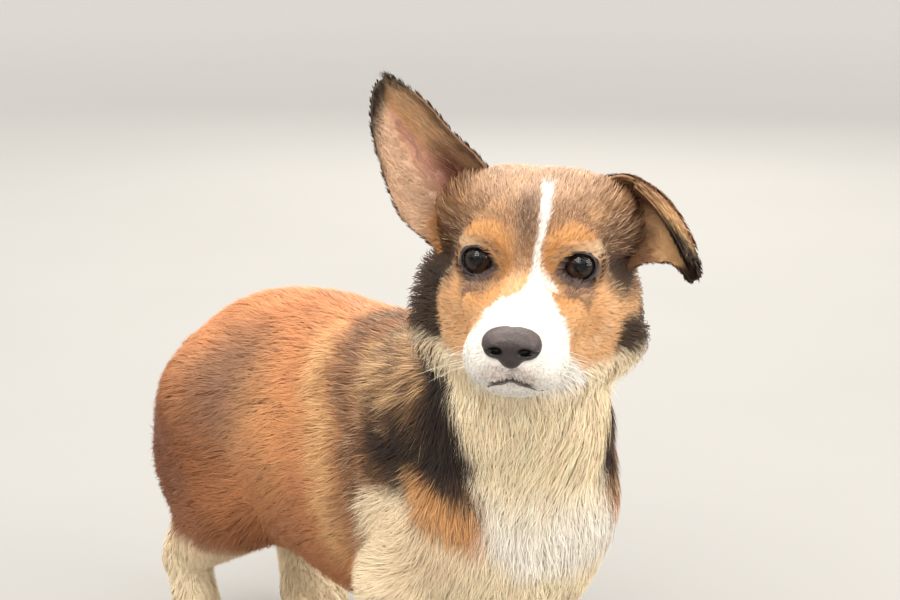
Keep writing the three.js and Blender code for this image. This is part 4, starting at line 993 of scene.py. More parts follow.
# The coat's and the skin's own colours come from the mesh, made uneven by noise
def paintedMaterial(name, roughness, scale, amount, specular=0.3, grain=0, depth=0.0, useRough=False):
    material, tree, shader = newMaterial(name, roughness, specular)
    colour = addNode(tree, "Attribute", attribute_name="coat")
    tone = addNode(tree, "Group", {"Scale": scale, "Amount": amount}, node_tree=toneGroup)
    wire(tree, (colour, "Color", tone, "Colour"), (tone, "Colour", shader, "Base Color"))
    if useRough:
        wire(tree, (tone, "Roughness", shader, "Roughness"))
    if grain:
        creases = addNode(tree, "Group", {"Scale": grain}, node_tree=grainGroup)
        bump = addNode(tree, "Bump", {"Distance": depth, "Strength": 0.7})
        wire(tree, (creases, "Height", bump, "Height"), (bump, "Normal", shader, "Normal"))
    return material


furMaterial = paintedMaterial("fur", 0.6, 70, 0.35, 0.25, useRough=True)
skinMaterial = paintedMaterial("skin", 0.6, 260, 0.5, 0.3, 900, 0.0003)
lidMaterial = paintedMaterial("moist lid", 0.28, 700, 0.6, 0.5, 1500, 0.00012)
noseMaterial = paintedMaterial("nose leather", 0.42, 500, 0.7, 0.4, 820, 0.00045)
noseShader = noseMaterial.node_tree.nodes["Principled BSDF"]
noseShader.inputs["Coat Weight"].default_value = 0.12
noseShader.inputs["Coat Roughness"].default_value = 0.3
eyeMaterial = paintedMaterial("iris and white", 0.7, 900, 0.6, 0.05, 2200, 0.00006)
hornMaterial = paintedMaterial("horn", 0.3, 1400, 0.8, 0.5, 1200, 0.00008)
whiskerMaterial = paintedMaterial("whisker", 0.35, 300, 0.2, 0.5)
corneaMaterial, tree, shader = newMaterial("cornea", 0.02, 0.5)
shader.inputs["Base Color"].default_value = (1, 1, 1, 1)
shader.inputs["Transmission Weight"].default_value = 1
shader.inputs["IOR"].default_value = 1.38
where = addNode(tree, "TexCoord")
noise = addNode(tree, "TexNoise", {"Scale": 260})
bump = addNode(tree, "Bump", {"Distance": 0.00002})
wire(tree,
     (where, "Object", noise, "Vector"), (noise, "Fac", bump, "Height"), (bump, "Normal", shader, "Normal"))
skin.data.materials.append(skinMaterial)


# Tufts: each one a few flat blades that follow the lie of the coat and close up toward the tip
coat = {
    "tufts": 60000, "blades": 6, "clump": 0.32, "patch": 0.003, "mostTriangles": 200000,
    "insideEar": 1700, "outsideEar": 1300, "earPlaces": 30000,
}


def unit(v):
    return v / np.maximum(np.linalg.norm(v, axis=-1), 1e-9)[..., None]


def marched(roots, length, stations):  # each root's path over the skin, with normals along it
    paths, normals = [roots], [slopeOf(skinField, roots, 1.0)]
    for k in range(1, stations):
        p = paths[-1] + lieOfCoat(paths[-1], normals[-1]) * (length / (stations - 1))[:, None]
        n = slopeOf(skinField, p, 1.0)
        p = p - n * skinField(p)[:, None]
        paths.append(p)
        normals.append(n)
    return np.stack(paths, 1), np.stack(normals, 1)


def bladeFaces(count, stations):  # triangles of flat blades that each end in one point
    each = 2 * stations - 1
    one = []
    for k in range(stations - 2):
        one += [(2 * k, 2 * k + 1, 2 * k + 3), (2 * k, 2 * k + 3, 2 * k + 2)]
    one.append((each - 3, each - 2, each - 1))
    return (np.arange(count)[:, None, None] * each + np.array(one)[None]).reshape(-1, 3)


def bladePatches(patches, along):  # each blade's strip of its tuft's patch on the unwrap
    blades, each = coat["blades"], len(along)
    uv = np.empty((len(patches), blades, each, 2))
    strip = coat["patch"] * ((np.arange(blades) + 0.5) / blades - 0.5)
    uv[..., 0] = patches[:, None, None, 0] + strip[None, :, None]
    uv[..., 0] += coat["patch"] / blades * 0.4 * np.where(np.arange(each) % 2, 1, -1)[None, None]
    uv[..., 1] = patches[:, None, None, 1] + coat["patch"] * (along - 0.5)[None, None]
    return uv.reshape(-1, 2)


# Each tuft and blade has its own tone; where the coat is sable some blades end dark, some pale
def bladeColours(colour, tips, along):
    size = (len(tips), coat["blades"])
    tips = tips[:, None]
    bright = random.normal(0, 0.05, (len(tips), 1)) + random.normal(0, 0.07, size) * (1 + 1.4 * tips)
    # The tone darkens each blade toward its root: painted shade deep in the coat
    tone = np.exp(bright)[..., None] * (0.84 + 0.22 * along)[None, None]
    pale = random.uniform(0, 1, size) < 0.42 * np.clip(tips * 2 - 0.2, 0, 1) * (tips < 0.7)
    end = np.where(pale[..., None], coatColours["straw"], coatColours["black"])[:, :, None]
    change = (tips * random.uniform(0.2, 1.6, size))[..., None] * step(along, 0.4, 0.95)[None, None]
    change = np.clip(change, 0, 0.95)[..., None]
    return np.clip(colour[:, None, None] * tone[..., None] * (1 - change) + end * change, 0, 1)


def growTufts(name, paths, normals, length, width, height, colour, tips, patches, slot):
    stations = paths.shape[1]
    size = (len(paths), coat["blades"])
    s = np.linspace(0, 1, stations)
    across = unit(np.cross(paths[:, 1] - paths[:, 0], normals[:, 0]))
    ahead = unit(paths[:, 1] - paths[:, 0])
    spread = np.clip(length * 0.08, 0.45, 2.2)[:, None]
    turn = random.uniform(0, 6.28, size)
    out = np.sqrt(random.uniform(0, 1, size)) * spread
    jitter = random.normal(0, 0.15, size)
    grown = random.uniform(0.66, 1.1, size)
    rise = random.uniform(0.5, 1.1, size)
    offset = across[:, None] * (out * np.cos(turn))[..., None]
    offset = offset + ahead[:, None] * (out * np.sin(turn))[..., None]
    start = paths[:, None, 0, None]
    place = start + (paths[:, None] - start) * grown[..., None, None]
    place = place + offset[:, :, None] * (1 - coat["clump"] * s ** 1.2)[None, None, :, None]
    sway = across[:, None, None] * (jitter * length[:, None])[..., None, None]
    place = place + sway * (s ** 1.4)[None, None, :, None]
    lift = (1 - (1 - s) ** 1.7)[None, None] * (height[:, None] * rise)[..., None] - (s == 0) * 0.25
    place = place + normals[:, None] * lift[..., None]
    along = np.gradient(place, axis=2)
    sideways = unit(np.cross(along, normals[:, None]))
    facing = unit(np.cross(sideways, along))
    roll = random.normal(0, 0.4, size)[..., None, None]
    edge = sideways * np.cos(roll) + facing * np.sin(roll)
    shape = np.interp(s, [0, 0.35, 0.7, 1], [0.75, 1.0, 0.8, 0])
    half = (width[:, None] * random.uniform(0.75, 1.25, size))[..., None] * shape / 2
    points = np.empty((*size, 2 * stations - 1, 3))
    points[:, :, 0:-1:2] = (place - edge * half[..., None])[:, :, :-1]
    points[:, :, 1::2] = (place + edge * half[..., None])[:, :, :-1]
    points[:, :, -1] = place[:, :, -1]
    points[..., 2] = np.maximum(points[..., 2], 0.2)
    station = np.append(np.repeat(np.arange(stations - 1), 2), stations - 1)
    looks = unit(normals[:, None] * 0.9 + facing * 0.22)[:, :, station]
    colours = bladeColours(colour, tips, s[station])
    uv = bladePatches(patches, s[station])
    faces = bladeFaces(size[0] * size[1], stations)
    obj = meshObject(name, toScene(points.reshape(-1, 3)), faces)
    setColours(obj.data, colours.reshape(-1, 3))
    layer = obj.data.uv_layers.new(name="OFBake")
    layer.data.foreach_set("uv", uv[faces.ravel()].astype(np.float32).ravel())
    obj.data.normals_split_custom_set_from_vertices(looks.reshape(-1, 3).astype(np.float32))
    obj.data.materials.append(furMaterial)
    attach(obj, "root")
    print("stage:", name, len(faces), "triangles")


triangles = np.concatenate([skinQuads[:, [0, 1, 2]], skinQuads[:, [0, 2, 3]]])
basePoints = skinPoints[:skinQuads.max() + 1]
a, b, c = (basePoints[triangles[:, k]] for k in range(3))
areas = np.linalg.norm(np.cross(b - a, c - a), axis=1) / 2
centres = (a + b + c) / 3
weights = areas * coatOf(centres)[3] * ~noHair(centres)
print("stage: skin area", int(areas.sum() / 100), "cm2, tufts wanted", int(weights.sum() / 100))
chosen = random.choice(len(areas), coat["tufts"], p=weights / weights.sum())
u, v = random.random(coat["tufts"]), random.random(coat["tufts"])
flip = u + v > 1
u, v = np.where(flip, 1 - u, u), np.where(flip, 1 - v, v)
roots = a[chosen] * (1 - u - v)[:, None] + b[chosen] * u[:, None] + c[chosen] * v[:, None]
roots = roots[~noHair(roots)]
length, width, height, _ = coatOf(roots)
patches = patchOf(roots)
h = toHead(roots)
onHead = headField(h) < 8
# The coat's pieces: each one takes the roots that its border leaves to it, in this order
regions = {
    "coat_face": {"within": onHead & (h[:, 1] < 0), "slot": "sable_coat", "stations": 3},
    "coat_skull": {"within": onHead, "slot": "sable_coat", "stations": 4},
    "coat_feet": {"within": roots[:, 2] < 60, "slot": "white_coat", "stations": 3},
    "coat_breast": {"within": roots[:, 1] < -20, "slot": "white_coat", "stations": 4},
    "coat_shoulders": {"within": roots[:, 1] < 60, "slot": "sable_coat", "stations": 3},
    "coat_barrel": {"within": roots[:, 1] < 164, "slot": "red_coat", "stations": 3},
    "coat_rump": {"within": roots[:, 1] >= 164, "slot": "red_coat", "stations": 3},
}
free = np.full(len(roots), True)
for name, region in regions.items():
    own = region["within"] & free
    free &= ~own
    stations = region["stations"]
    paths, normals = marched(roots[own], length[own], stations)
    # The colour is that of the part of a hair that shows
    seen = paths[:, 1] if stations == 3 else (paths[:, 1] + 2 * paths[:, 2]) / 3
    rows = (paths, normals, length[own], width[own], height[own], *markings(seen), patches[own])
    most = coat["mostTriangles"] // (coat["blades"] * (2 * stations - 3)) - 10
    for part, start in enumerate(range(0, own.sum(), most)):
        pieceName = name if own.sum() <= most else name + "_" + str(part + 1)
        growTufts(pieceName, *[row[start:start + most] for row in rows], region["slot"])


# The ears' hair: long over the inner side next to the crown, sparse in the cup, short outside
def earHair(name, layer, u, v):
    count = len(u)
    if layer == 0:
        crownSide, cheekSide = 1 - step(u, 0.3, 0.42), step(u, 0.52, 0.68)
        if name == "left":
            crownSide = 1 - step(u, 0.5, 0.7)
        length = 7 + 6.5 * crownSide * step(v, 0.08, 0.3) + 1.5 * cheekSide
        height = 0.9 + 1.9 * crownSide + 0.5 * cheekSide
        width = 0.22 + 0.12 * crownSide
        share = 0.28 + 0.8 * crownSide + 0.42 * cheekSide + 0.5 * step(v, 0.72, 0.85)
        across = -0.05 * crownSide + 0.6 * cheekSide
        tips = 0.14 + 0.26 * crownSide
    else:
        length, height = np.full(count, 6.5), np.full(count, 1.5)
        width, share = np.full(count, 0.34), np.full(count, 0.85)
        across, tips = (u - 0.5) * 0.16, np.full(count, 0.36)
    edge = np.maximum(1 - step(u, 0.04, 0.1), step(u, 0.91, 0.96))
    tip = step(v, 0.86, 0.97)
    length = length * (1 - 0.35 * edge) * (1 - 0.5 * tip) * (1 - 0.45 * step(v, 0.5, 0.9) * (u > 0.3))
    share = share + 0.7 * edge + 0.6 * tip
    across = across + edge * np.where(u < 0.5, -0.12, 0.12)
    return length, width * (1 - 0.3 * edge), height * (1 - 0.5 * tip) * (1 - 0.4 * edge), share, across, tips


allEars = []
for name in ears:
    for layer, tufts in ((0, coat["insideEar"]), (1, coat["outsideEar"])):
        u = random.uniform(0.03, 0.97, coat["earPlaces"])
        v = random.uniform(0.0 if layer else 0.03, 0.985, coat["earPlaces"])
        _, du, dv, _ = earFrame(name, u, v)
        weights = np.linalg.norm(np.cross(du, dv), axis=1) * earHair(name, layer, u, v)[3]
        keep = random.choice(len(u), tufts, p=weights / weights.sum(), replace=False)
        u, v = u[keep], v[keep]
        length, width, height, _, across, tips = earHair(name, layer, u, v)
        p, du, dv, _ = earFrame(name, u, v)
        bend = across + wave(p, 14, 41) * 0.16
        stepU = bend * length / np.linalg.norm(du, axis=1)
        stepV = np.sqrt(np.maximum(1 - np.clip(bend, -1, 1) ** 2, 0.1)) * length / np.linalg.norm(dv, axis=1)
        paths, normals = [], []
        for s in np.linspace(0, 1, 4):
            uu, vv = u + stepU * s, v + stepV * s
            inU, inV = np.clip(uu, 0.01, 0.99), np.clip(vv, 0, 0.99)
            q, qu, qv, out = earFrame(name, inU, inV)
            q = q + qu * (uu - inU)[:, None] + qv * (vv - inV)[:, None]
            q = q + out * (earGrid["inset"] + layer * earGrid["thickness"])
            paths.append(fromHead(q))
            normals.append((out * (1 if layer else -1)) @ turning.T)
        n, m = earCoarse["across"], earCoarse["along"]
        row, column = np.minimum((v * m).astype(int), m - 1), np.minimum((u * n).astype(int), n - 1)
        patches = patchOf(paths[0], earStart[name, layer] + row * n + column)
        allEars.append((np.stack(paths, 1), np.stack(normals, 1), length, width, height,
                        earColours(name, u, v, layer), tips, patches))
growTufts("coat_ears", *[np.concatenate(part) for part in zip(*allEars)], "sable_coat")


def closeRing(rows, count):  # faces between rows of points that each go once round
    faces = []
    for j in range(rows - 1):
        for i in range(count):
            k = (i + 1) % count
            faces.append((j * count + i, j * count + k, (j + 1) * count + k, (j + 1) * count + i))
    return faces


def ownPiece(obj, material, replaced=()):
    obj.data.materials.clear()
    obj.data.materials.append(material)
    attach(obj, "root")
    if replaced:
        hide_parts(*replaced)


def unitBall(name, segments, rings):
    bpy.ops.object.select_all(action="DESELECT")
    bpy.ops.mesh.primitive_uv_sphere_add(segments=segments, ring_count=rings, radius=1, location=(0, 0, 0))
    obj = bpy.context.object
    obj.name = name
    return obj


def fromPole(p):  # the angle between each point of a unit ball and its pole
    return np.arccos(np.clip(p[:, 2], -1, 1))


# Eyes: a ball with a sunk iris and pupil, under a clear cornea that stands out a little
eyeball = {
    "radius": 9.3, "iris": 6.9, "pupil": 2.9, "frontShare": 0.54, "gaze": (0.12, -0.98, 0.1),
    "gap": 0.14, "bulge": 0.75, "corneaThickness": 0.006,
}
radius, iris, pupil, front = (eyeball[key] for key in ("radius", "iris", "pupil", "frontShare"))
limbus = math.asin(iris / radius)
shelf = radius * math.cos(limbus)
for side, sign in (("right", -1), ("left", 1)):
    gaze = Vector((sign * eyeball["gaze"][0], eyeball["gaze"][1], eyeball["gaze"][2])).normalized()
    aim = np.array(gaze.to_track_quat("Z", "Y").to_matrix())
    middle = np.array([sign * dog["eyeHalfSpacing"], eye["ballBack"], 0])

    def placed(local):
        return toScene(fromHead(local @ aim.T + middle))

    ball = unitBall("eyeball_" + side, 96, 64)
    p = pointsOf(ball)
    around = np.arctan2(p[:, 1], p[:, 0])
    t = fromPole(p) / math.pi
    shares = [0, 0.06, 0.16, 0.2, 0.5, front]
    r = np.interp(t, shares, [0, 2.1, pupil - 0.1, pupil + 0.1, iris - 0.15, iris])
    z = np.interp(t, shares, [shelf - 1.6, shelf - 1.5, shelf - 0.5, shelf + 0.1, shelf - 0.25, shelf])
    back = t > front
    wide = limbus + (t - front) / (1 - front) * (math.pi - limbus)
    r, z = np.where(back, radius * np.sin(wide), r), np.where(back, radius * np.cos(wide), z)
    local = np.column_stack([r * np.cos(around), r * np.sin(around), z])
    ring = np.column_stack([np.cos(around), np.sin(around), r * 0.05])
    fibres = 0.5 * wave(ring, 0.34, 51) + 0.5 * wave(ring * (1, 1, 3), 0.16, 52)
    tone = np.interp(r, [0, pupil, pupil + 0.5, 5.0, iris - 0.9, iris], [0, 0, 0.5, 1, 0.6, 0.1])
    colour = shade(58, 40, 31) * (tone * (1 + 0.3 * fibres))[:, None]
    colour = np.maximum(colour, shade(22, 17, 16))
    colour = np.where((r < pupil)[:, None] & ~back[:, None], shade(9, 8, 9), colour)
    white = step(wide, limbus + 0.02, limbus + 0.2)[:, None] * back[:, None]
    colour = colour * (1 - white) + shade(150, 128, 118) * white
    setPoints(ball, placed(local))
    setColours(ball.data, colour)
    facedOut(ball)
    ownPiece(ball, eyeMaterial, ("eye_" + side,))

    clear = unitBall("cornea_" + side, 72, 48)
    bpy.ops.object.mode_set(mode="EDIT")
    bpy.ops.mesh.select_all(action="SELECT")
    bpy.ops.mesh.bisect(plane_co=(0, 0, 0.15), plane_no=(0, 0, 1), clear_inner=True)
    bpy.ops.object.mode_set(mode="OBJECT")
    p = pointsOf(clear)
    polar = fromPole(p)
    dome = np.maximum(1 - (np.sin(polar) / math.sin(limbus + 0.12)) ** 2, 0) * (polar < 1.5)
    reach = radius + eyeball["gap"] + eyeball["bulge"] * dome
    setPoints(clear, placed(p * reach[:, None]))
    facedOut(clear)
    shell = clear.modifiers.new("shell", "SOLIDIFY")
    shell.thickness = eyeball["corneaThickness"]
    shell.offset = -1
    bpy.context.view_layer.objects.active = clear
    bpy.ops.object.modifier_apply(modifier="shell")
    clear.data.shade_smooth()
    ownPiece(clear, corneaMaterial)
print("stage: eyes")


# Lids: a moist dark band round each opening, from under the hair's edge on to the ball
def frontOf(q):  # brings places in the frame of the head on to the closed skin, from in front
    q = np.array(q)
    q[:, 1] = -30
    for _ in range(40):
        q[:, 1] += np.clip(closedSkin(fromHead(q)), -1, 4) * 0.75
    return q[:, 1]


lid = {"around": 120, "overBall": 0.35, "colour": shade(30, 25, 26), "low": shade(66, 56, 58)}
# off the opening's edge, behind the edge, and how far each row goes over from the skin to the ball
lidRows = [
    (1.5, 0.5, 0), (1.0, 0.05, 0), (0.6, -0.3, 0), (0.25, -0.48, 0), (-0.05, -0.42, 0), (-0.25, -0.15, 0.25),
    (-0.35, 0.1, 0.7), (-0.45, 0.15, 1),
]
angles = np.linspace(0, 2 * math.pi, lid["around"], endpoint=False)
reach = openingReach(angles)


def roundOpening(far):  # places on a line round the opening, seen from the front
    x = dog["eyeHalfSpacing"] + eye["shift"][0] + far * np.cos(angles)
    return x, eye["shift"][1] + far * np.sin(angles)


for side, sign in (("right", -1), ("left", 1)):
    rows, colours = [], []
    for off, behind, over in lidRows:
        x, z = roundOpening(reach + off)
        far = np.hypot(x - dog["eyeHalfSpacing"], z)
        ballRadius = dog["eyeRadius"] + lid["overBall"]
        onBall = eye["ballBack"] - np.sqrt(np.maximum(ballRadius ** 2 - far ** 2, 0.5))
        edgeX, edgeZ = roundOpening(reach + max(off, 0.5))
        onSkin = frontOf(np.column_stack([edgeX, np.zeros(len(edgeX)), edgeZ]))
        y = (onSkin + behind) * (1 - over) + (onBall + behind) * over
        rows.append(np.column_stack([sign * x, np.minimum(y, onBall + 0.2), z]))
        dark = step(np.abs(off), 0.5, 1.2) * (0.35 + 0.65 * (np.sin(angles) < -0.2))
        colours.append(lid["colour"] * (1 - dark[:, None]) + lid["low"] * dark[:, None])
    places = toScene(fromHead(np.concatenate(rows)))
    band = meshObject("lids_" + side, places, closeRing(len(rows), lid["around"]))
    setColours(band.data, np.concatenate(colours))
    facedOut(band)
    facing = np.array(band.data.polygons[0].normal) @ (turning @ np.array([0, -1, 0]))
    if facing < 0:
        band.data.flip_normals()
    ownPiece(band, lidMaterial)
print("stage: lids")

# Nose: pad, wings and lip, with round nostrils that run out into slits, and a groove down the middle
nose = {
    "pad": ((0, -59, -25.2), (12.6, 8.5, 7.2)), "wing": ((7.6, -60, -27.2), (5.9, 7.2, 6.0)),
    "lip": ((0, -59.6, -32.6), (5.6, 6.8, 5.2)), "nostril": ((6.9, -68.4, -28.9), (3.3, 6.0, 2.2)),
    "slit": ((8.2, -67, -28.9), (14.2, -61.5, -29.6), 1.3, 0.9),
    "groove": ((0, -69.2, -29), (0, -66.4, -38), 0.9, 0.8), "dip": ((0, -62, -15.6), (2.8, 9, 2.2)),
    "low": (-16, -71, -40), "high": (16, -48, -15), "cell": 0.6,
}


def noseField(h):
    q = mirrored(h)
    d = smoothJoin(ellipsoid(q, *nose["pad"]), ellipsoid(q, *nose["wing"]), 4)
    d = smoothJoin(d, ellipsoid(q, *nose["lip"]), 3)
    d = smoothCut(d, ellipsoid(q, *nose["dip"]), 2)
    d = smoothCut(d, ellipsoid(q, *nose["nostril"]), 1.6)
    d = smoothCut(d, limb(q, *nose["slit"]), 1.2)
    return smoothCut(d, limb(q, *nose["groove"]), 1.2)


nosePoints, noseQuads = fieldMesh(noseField, nose["low"], nose["high"], nose["cell"])
tip = meshObject("nose_leather", toScene(fromHead(nosePoints)), noseQuads)
q = mirrored(nosePoints)
# The nostrils are painted near black: painted shade in their hollows
shadeInNostril = 1 - step(np.minimum(ellipsoid(q, *nose["nostril"]), limb(q, *nose["slit"])), -0.2, 1.3)
# The top of the nose is painted lighter than its lower part: a painted sheen from the light above
sheenOnTop = step(nosePoints[:, 2], -30, -20)
colour = shade(44, 36, 37) * (1 - sheenOnTop[:, None]) + shade(80, 68, 66) * sheenOnTop[:, None]
colour = colour * (1 + 0.12 * wave(nosePoints, 7, 61))[:, None]
colour = colour * (1 - shadeInNostril[:, None]) + shade(6, 5, 5) * shadeInNostril[:, None]
setColours(tip.data, colour)
facedOut(tip)
ownPiece(tip, noseMaterial, ("nose",))
print("stage: nose", len(noseQuads), "quads")


# Round bars with tapering ends: the lips' edge, whiskers and claws
def bar(points, radii, sides):
    points = np.asarray(points, float)
    along = unit(np.gradient(points, axis=0))
    first = unit(np.cross(along, (0.31, 0.2, 0.93)))
    second = np.cross(along, first)
    turnBy = np.linspace(0, 2 * math.pi, sides, endpoint=False)
    rings = [c + r * (np.outer(np.cos(turnBy), f) + np.outer(np.sin(turnBy), g))
             for c, f, g, r in zip(points, first, second, radii)]
    return np.concatenate(rings), closeRing(len(points), sides)


def barsObject(name, bars):
    allPoints, allFaces, start = [], [], 0
    for points, faces in bars:
        allPoints.append(points)
        allFaces.append(np.array(faces) + start)
        start += len(points)
    obj = meshObject(name, toScene(fromHead(np.concatenate(allPoints))), np.concatenate(allFaces))
    facedOut(obj, closed=True)
    return obj


# Lips: the dark edge that shows in the middle and thins toward the corners
line = np.array(lips)
whole = np.vstack([line * (-1, 1, 1), line[-2::-1]])
fineLine = curveAt(whole, np.linspace(0, 1, 90))
lipRadius = np.interp(np.abs(fineLine[:, 0]), [0, 5, 10, 14, 28], [0.42, 0.42, 0.32, 0.2, 0.1])
upperLip = bar(fineLine + np.array([0, 0.5, 0.2]), lipRadius, 10)
lowerLip = bar(fineLine + np.array([0, 1.2, -1.4]), lipRadius * 0.9, 10)
lipPiece = barsObject("lips", [upperLip, lowerLip])
where = toHead(pointsOf(lipPiece) * 1000 - moved)
speckle = step(wave(where, 3.0, 63), 0.3, 0.7)[:, None] * 0.25
setColours(lipPiece.data, shade(84, 70, 68) * (1 - speckle) + shade(150, 116, 112) * speckle)
ownPiece(lipPiece, lidMaterial)

# Whiskers: pale, fine, bowed a little down
whisker = {"rows": ((-34, 3, 20), (-38, 4, 26), (-42, 4, 22)), "radius": 0.13}
bars = []
for sign in (-1, 1):
    for z, count, long in whisker["rows"]:
        for k in range(count):
            q = np.array([[sign * 10.0, -50 + 6 * k + random.uniform(-1, 1), z + random.uniform(-1, 1)]])
            ahead = -0.35 + 0.32 * k + random.uniform(-0.1, 0.1)
            out = unit(np.array([sign * 0.9, ahead, -0.12 + random.uniform(-0.15, 0.1)]))
            q = q + [sign * 26.0, 0, 0]
            for _ in range(30):
                q[0, 0] -= sign * np.clip(closedSkin(fromHead(q))[0], -2, 6) * 0.8
            s = np.linspace(0, 1, 9)[:, None]
            span = long * random.uniform(0.75, 1.1)
            droop = np.array([0, 5.0 * random.uniform(0.5, 1.5), -5])
            path = q - out * 1.0 + out * span * s + droop * s ** 2
            bars.append(bar(path, whisker["radius"] * (1 - s[:, 0] * 0.88), 5))
whiskers = barsObject("whiskers", bars)
setColours(whiskers.data, np.tile(shade(236, 226, 210), (len(whiskers.data.vertices), 1)))
ownPiece(whiskers, whiskerMaterial)
print("stage: mouth")

# Claws: curved horn, flat at the sides, blunt at the tip
claw = {"length": 8.8, "radius": 2.3, "drop": 3.2, "root": (0, -12.6, 8.5), "sides": 14, "flatness": 0.78}
for legName, leg in (("foreleg", foreleg), ("hindleg", hindleg)):
    for side, sign in (("right", -1), ("left", 1)):
        for k, (across, ahead) in enumerate(paw["toes"]):
            footX, footY, _ = leg["joints"]["foot"]
            base = np.array([sign * (footX + across), footY + paw["reach"] + ahead, 0]) + claw["root"]
            s = np.linspace(0, 1, 12)
            forward = -claw["length"] * (s - 0.16 * s ** 2)
            path = base + np.column_stack([0 * s, forward, -claw["drop"] * s ** 1.9])
            thick = np.interp(s, [0, 0.3, 0.8, 0.94, 1], [1.0, 0.92, 0.5, 0.3, 0.12]) * claw["radius"]
            points, faces = bar(path, thick, claw["sides"])
            points[:, 0] = base[0] + (points[:, 0] - base[0]) * claw["flatness"]
            toe = "{}_{}_{}".format(legName, side, k + 1)
            horn = barsObject("horn_" + toe, [(toHead(points), faces)])
            shares = np.repeat(s, claw["sides"])
            tone = (1 - 0.5 * shares + 0.12 * wave(points, 2.2, 71))[:, None]
            setColours(horn.data, np.clip(shade(112, 92, 80) * tone, 0, 1))
            ownPiece(horn, hornMaterial, ("claw_" + toe,))
print("stage: claws")


# Camera at the photograph's viewing angle: a 75 mm lens 917 mm from the eyes
view = {
    "azimuth": -44.0, "height": 14.0, "distance": 0.917, "lens": 75.0, "sensor": 36, "image": (900, 600),
    "eyesAt": (530, 261),
}
az, el = math.radians(view["azimuth"]), math.radians(view["height"])
back = Vector((math.sin(az) * math.cos(el), -math.cos(az) * math.cos(el), math.sin(el)))
right = Vector((math.cos(az), math.sin(az), 0))
up = back.cross(right)
pixels = view["lens"] / view["sensor"] * view["image"][0]
toRight, toTop = view["eyesAt"][0] - view["image"][0] / 2, view["image"][1] / 2 - view["eyesAt"][1]
place = Vector(eyesMiddle / 1000) + view["distance"] * (back - right * toRight / pixels - up * toTop / pixels)
cameraData = bpy.data.cameras.new("camera")
cameraData.lens = view["lens"]
cameraData.sensor_width = view["sensor"]
cameraData.clip_start = 0.05
camera = bpy.data.objects.new("camera", cameraData)
camera.matrix_world = Matrix.Translation(place) @ Matrix((right, up, back)).transposed().to_4x4()
bpy.context.scene.collection.objects.link(camera)
bpy.context.scene.camera = camera

# Floor: a pale disc that curves up into a low wall all round, under an even sky
studio = {
    "radius": 7.0, "inset": 4.5, "curve": 2.0, "curveSteps": 8, "wall": 1.0,
    "grey": shade(158, 156, 153), "patch": shade(163, 161, 158), "far": shade(188, 186, 183), "paleFrom": 1.0,
    "paleTo": 5.0,
}
bpy.ops.object.select_all(action="DESELECT")
bpy.ops.mesh.primitive_circle_add(vertices=96, radius=studio["radius"], fill_type="NGON", location=(0, 0, 0))
floor = bpy.context.object
floor.name = "floor"
bpy.ops.object.mode_set(mode="EDIT")
bpy.ops.mesh.select_all(action="SELECT")
bpy.ops.mesh.inset(thickness=studio["inset"])
bpy.ops.mesh.select_all(action="DESELECT")
rim = bmesh.from_edit_mesh(floor.data)
for edge in rim.edges:
    edge.select = edge.is_boundary
rim.select_flush(True)
bmesh.update_edit_mesh(floor.data)
lastOut, lastUp = 0.0, 0.0
for k in range(1, studio["curveSteps"] + 1):
    turned = math.radians(90 * k / studio["curveSteps"])
    out, rise = studio["curve"] * math.sin(turned), studio["curve"] * (1 - math.cos(turned))
    grow = (studio["radius"] + out) / (studio["radius"] + lastOut)
    bpy.ops.mesh.extrude_edges_move(TRANSFORM_OT_translate={"value": (0, 0, rise - lastUp)})
    bpy.ops.transform.resize(value=(grow, grow, 1))
    lastOut, lastUp = out, rise
bpy.ops.mesh.extrude_edges_move(TRANSFORM_OT_translate={"value": (0, 0, studio["wall"])})
bpy.ops.mesh.select_all(action="SELECT")
bpy.ops.mesh.normals_make_consistent(inside=True)
bpy.ops.object.mode_set(mode="OBJECT")
floor.data.shade_smooth()
if floor.data.polygons[0].normal.z < 0:
    floor.data.flip_normals()
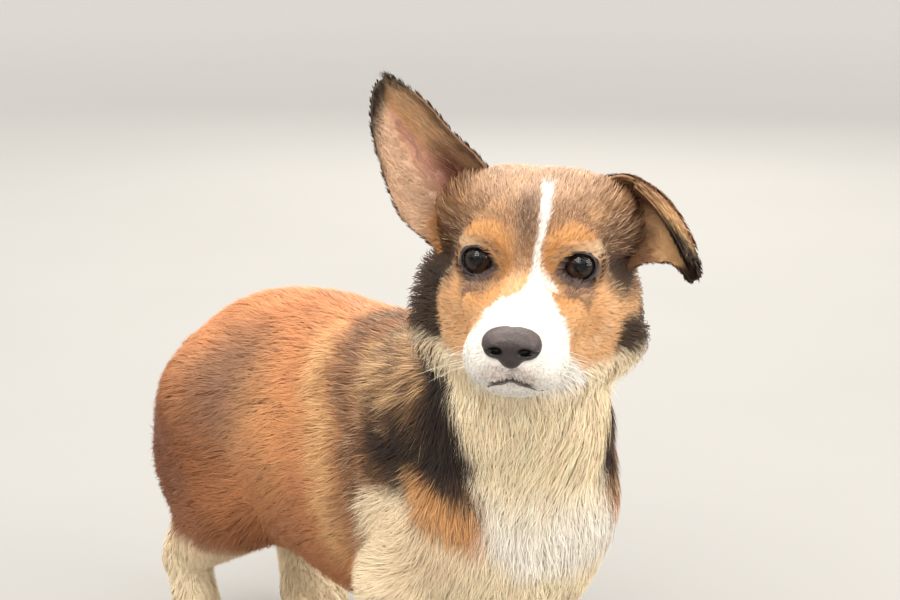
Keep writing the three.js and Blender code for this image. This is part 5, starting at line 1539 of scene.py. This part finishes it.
floorMaterial, tree, shader = newMaterial("floor", 0.85, 0.2)
# Away from the dog the floor is painted paler: painted light that makes up for the area lamps falling off
# there
where = addNode(tree, "TexCoord")
noise = addNode(tree, "TexNoise", {"Scale": 3})
patchy = addNode(tree, "Mix", {"A": (*studio["grey"], 1), "B": (*studio["patch"], 1)}, data_type="RGBA")
far = addNode(tree, "VectorMath", operation="LENGTH")
outward = addNode(tree, "MapRange", {"From Min": studio["paleFrom"], "From Max": studio["paleTo"]},
                  interpolation_type="SMOOTHSTEP")
paler = addNode(tree, "Mix", {"B": (*studio["far"], 1)}, data_type="RGBA")
wire(tree,
     (where, "Object", noise, "Vector"), (noise, "Fac", patchy, "Factor"), (where, "Object", far, 0),
     (far, "Value", outward, "Value"), (outward, "Result", paler, "Factor"), (patchy, "Result", paler, "A"),
     (paler, "Result", shader, "Base Color"))
floor.data.materials.append(floorMaterial)

world = bpy.data.worlds.new("sky")
world.use_nodes = True
world.node_tree.nodes["Background"].inputs["Color"].default_value = (1.0, 0.975, 0.94, 1)
world.node_tree.nodes["Background"].inputs["Strength"].default_value = 1.55
bpy.context.scene.world = world
lightAim = (0, 0, 0.18)
lights = {
    "key": {"at": (-1.7, -0.8, 2.0), "watts": 32, "size": 1.3, "colour": (1.0, 0.96, 0.9)},
    "fill": {"at": (0.5, -2.0, 0.9), "watts": 24, "size": 1.4, "colour": (1.0, 0.96, 0.9)},
    "top": {"at": (0.3, 0.5, 2.0), "watts": 19, "size": 1.3, "colour": (1.0, 0.99, 0.95)},
    "rim": {"at": (1.5, 1.2, 1.1), "watts": 14, "size": 0.9, "colour": (1.0, 0.96, 0.88)},
}
for name, light in lights.items():
    bpy.ops.object.light_add(type="AREA", location=light["at"])
    lamp = bpy.context.object
    lamp.name = name
    lamp.data.energy = light["watts"]
    lamp.data.size = light["size"]
    lamp.data.color = light["colour"]
    lamp.rotation_euler = (Vector(light["at"]) - Vector(lightAim)).to_track_quat("Z", "Y").to_euler()
bpy.context.scene.view_settings.view_transform = "Standard"
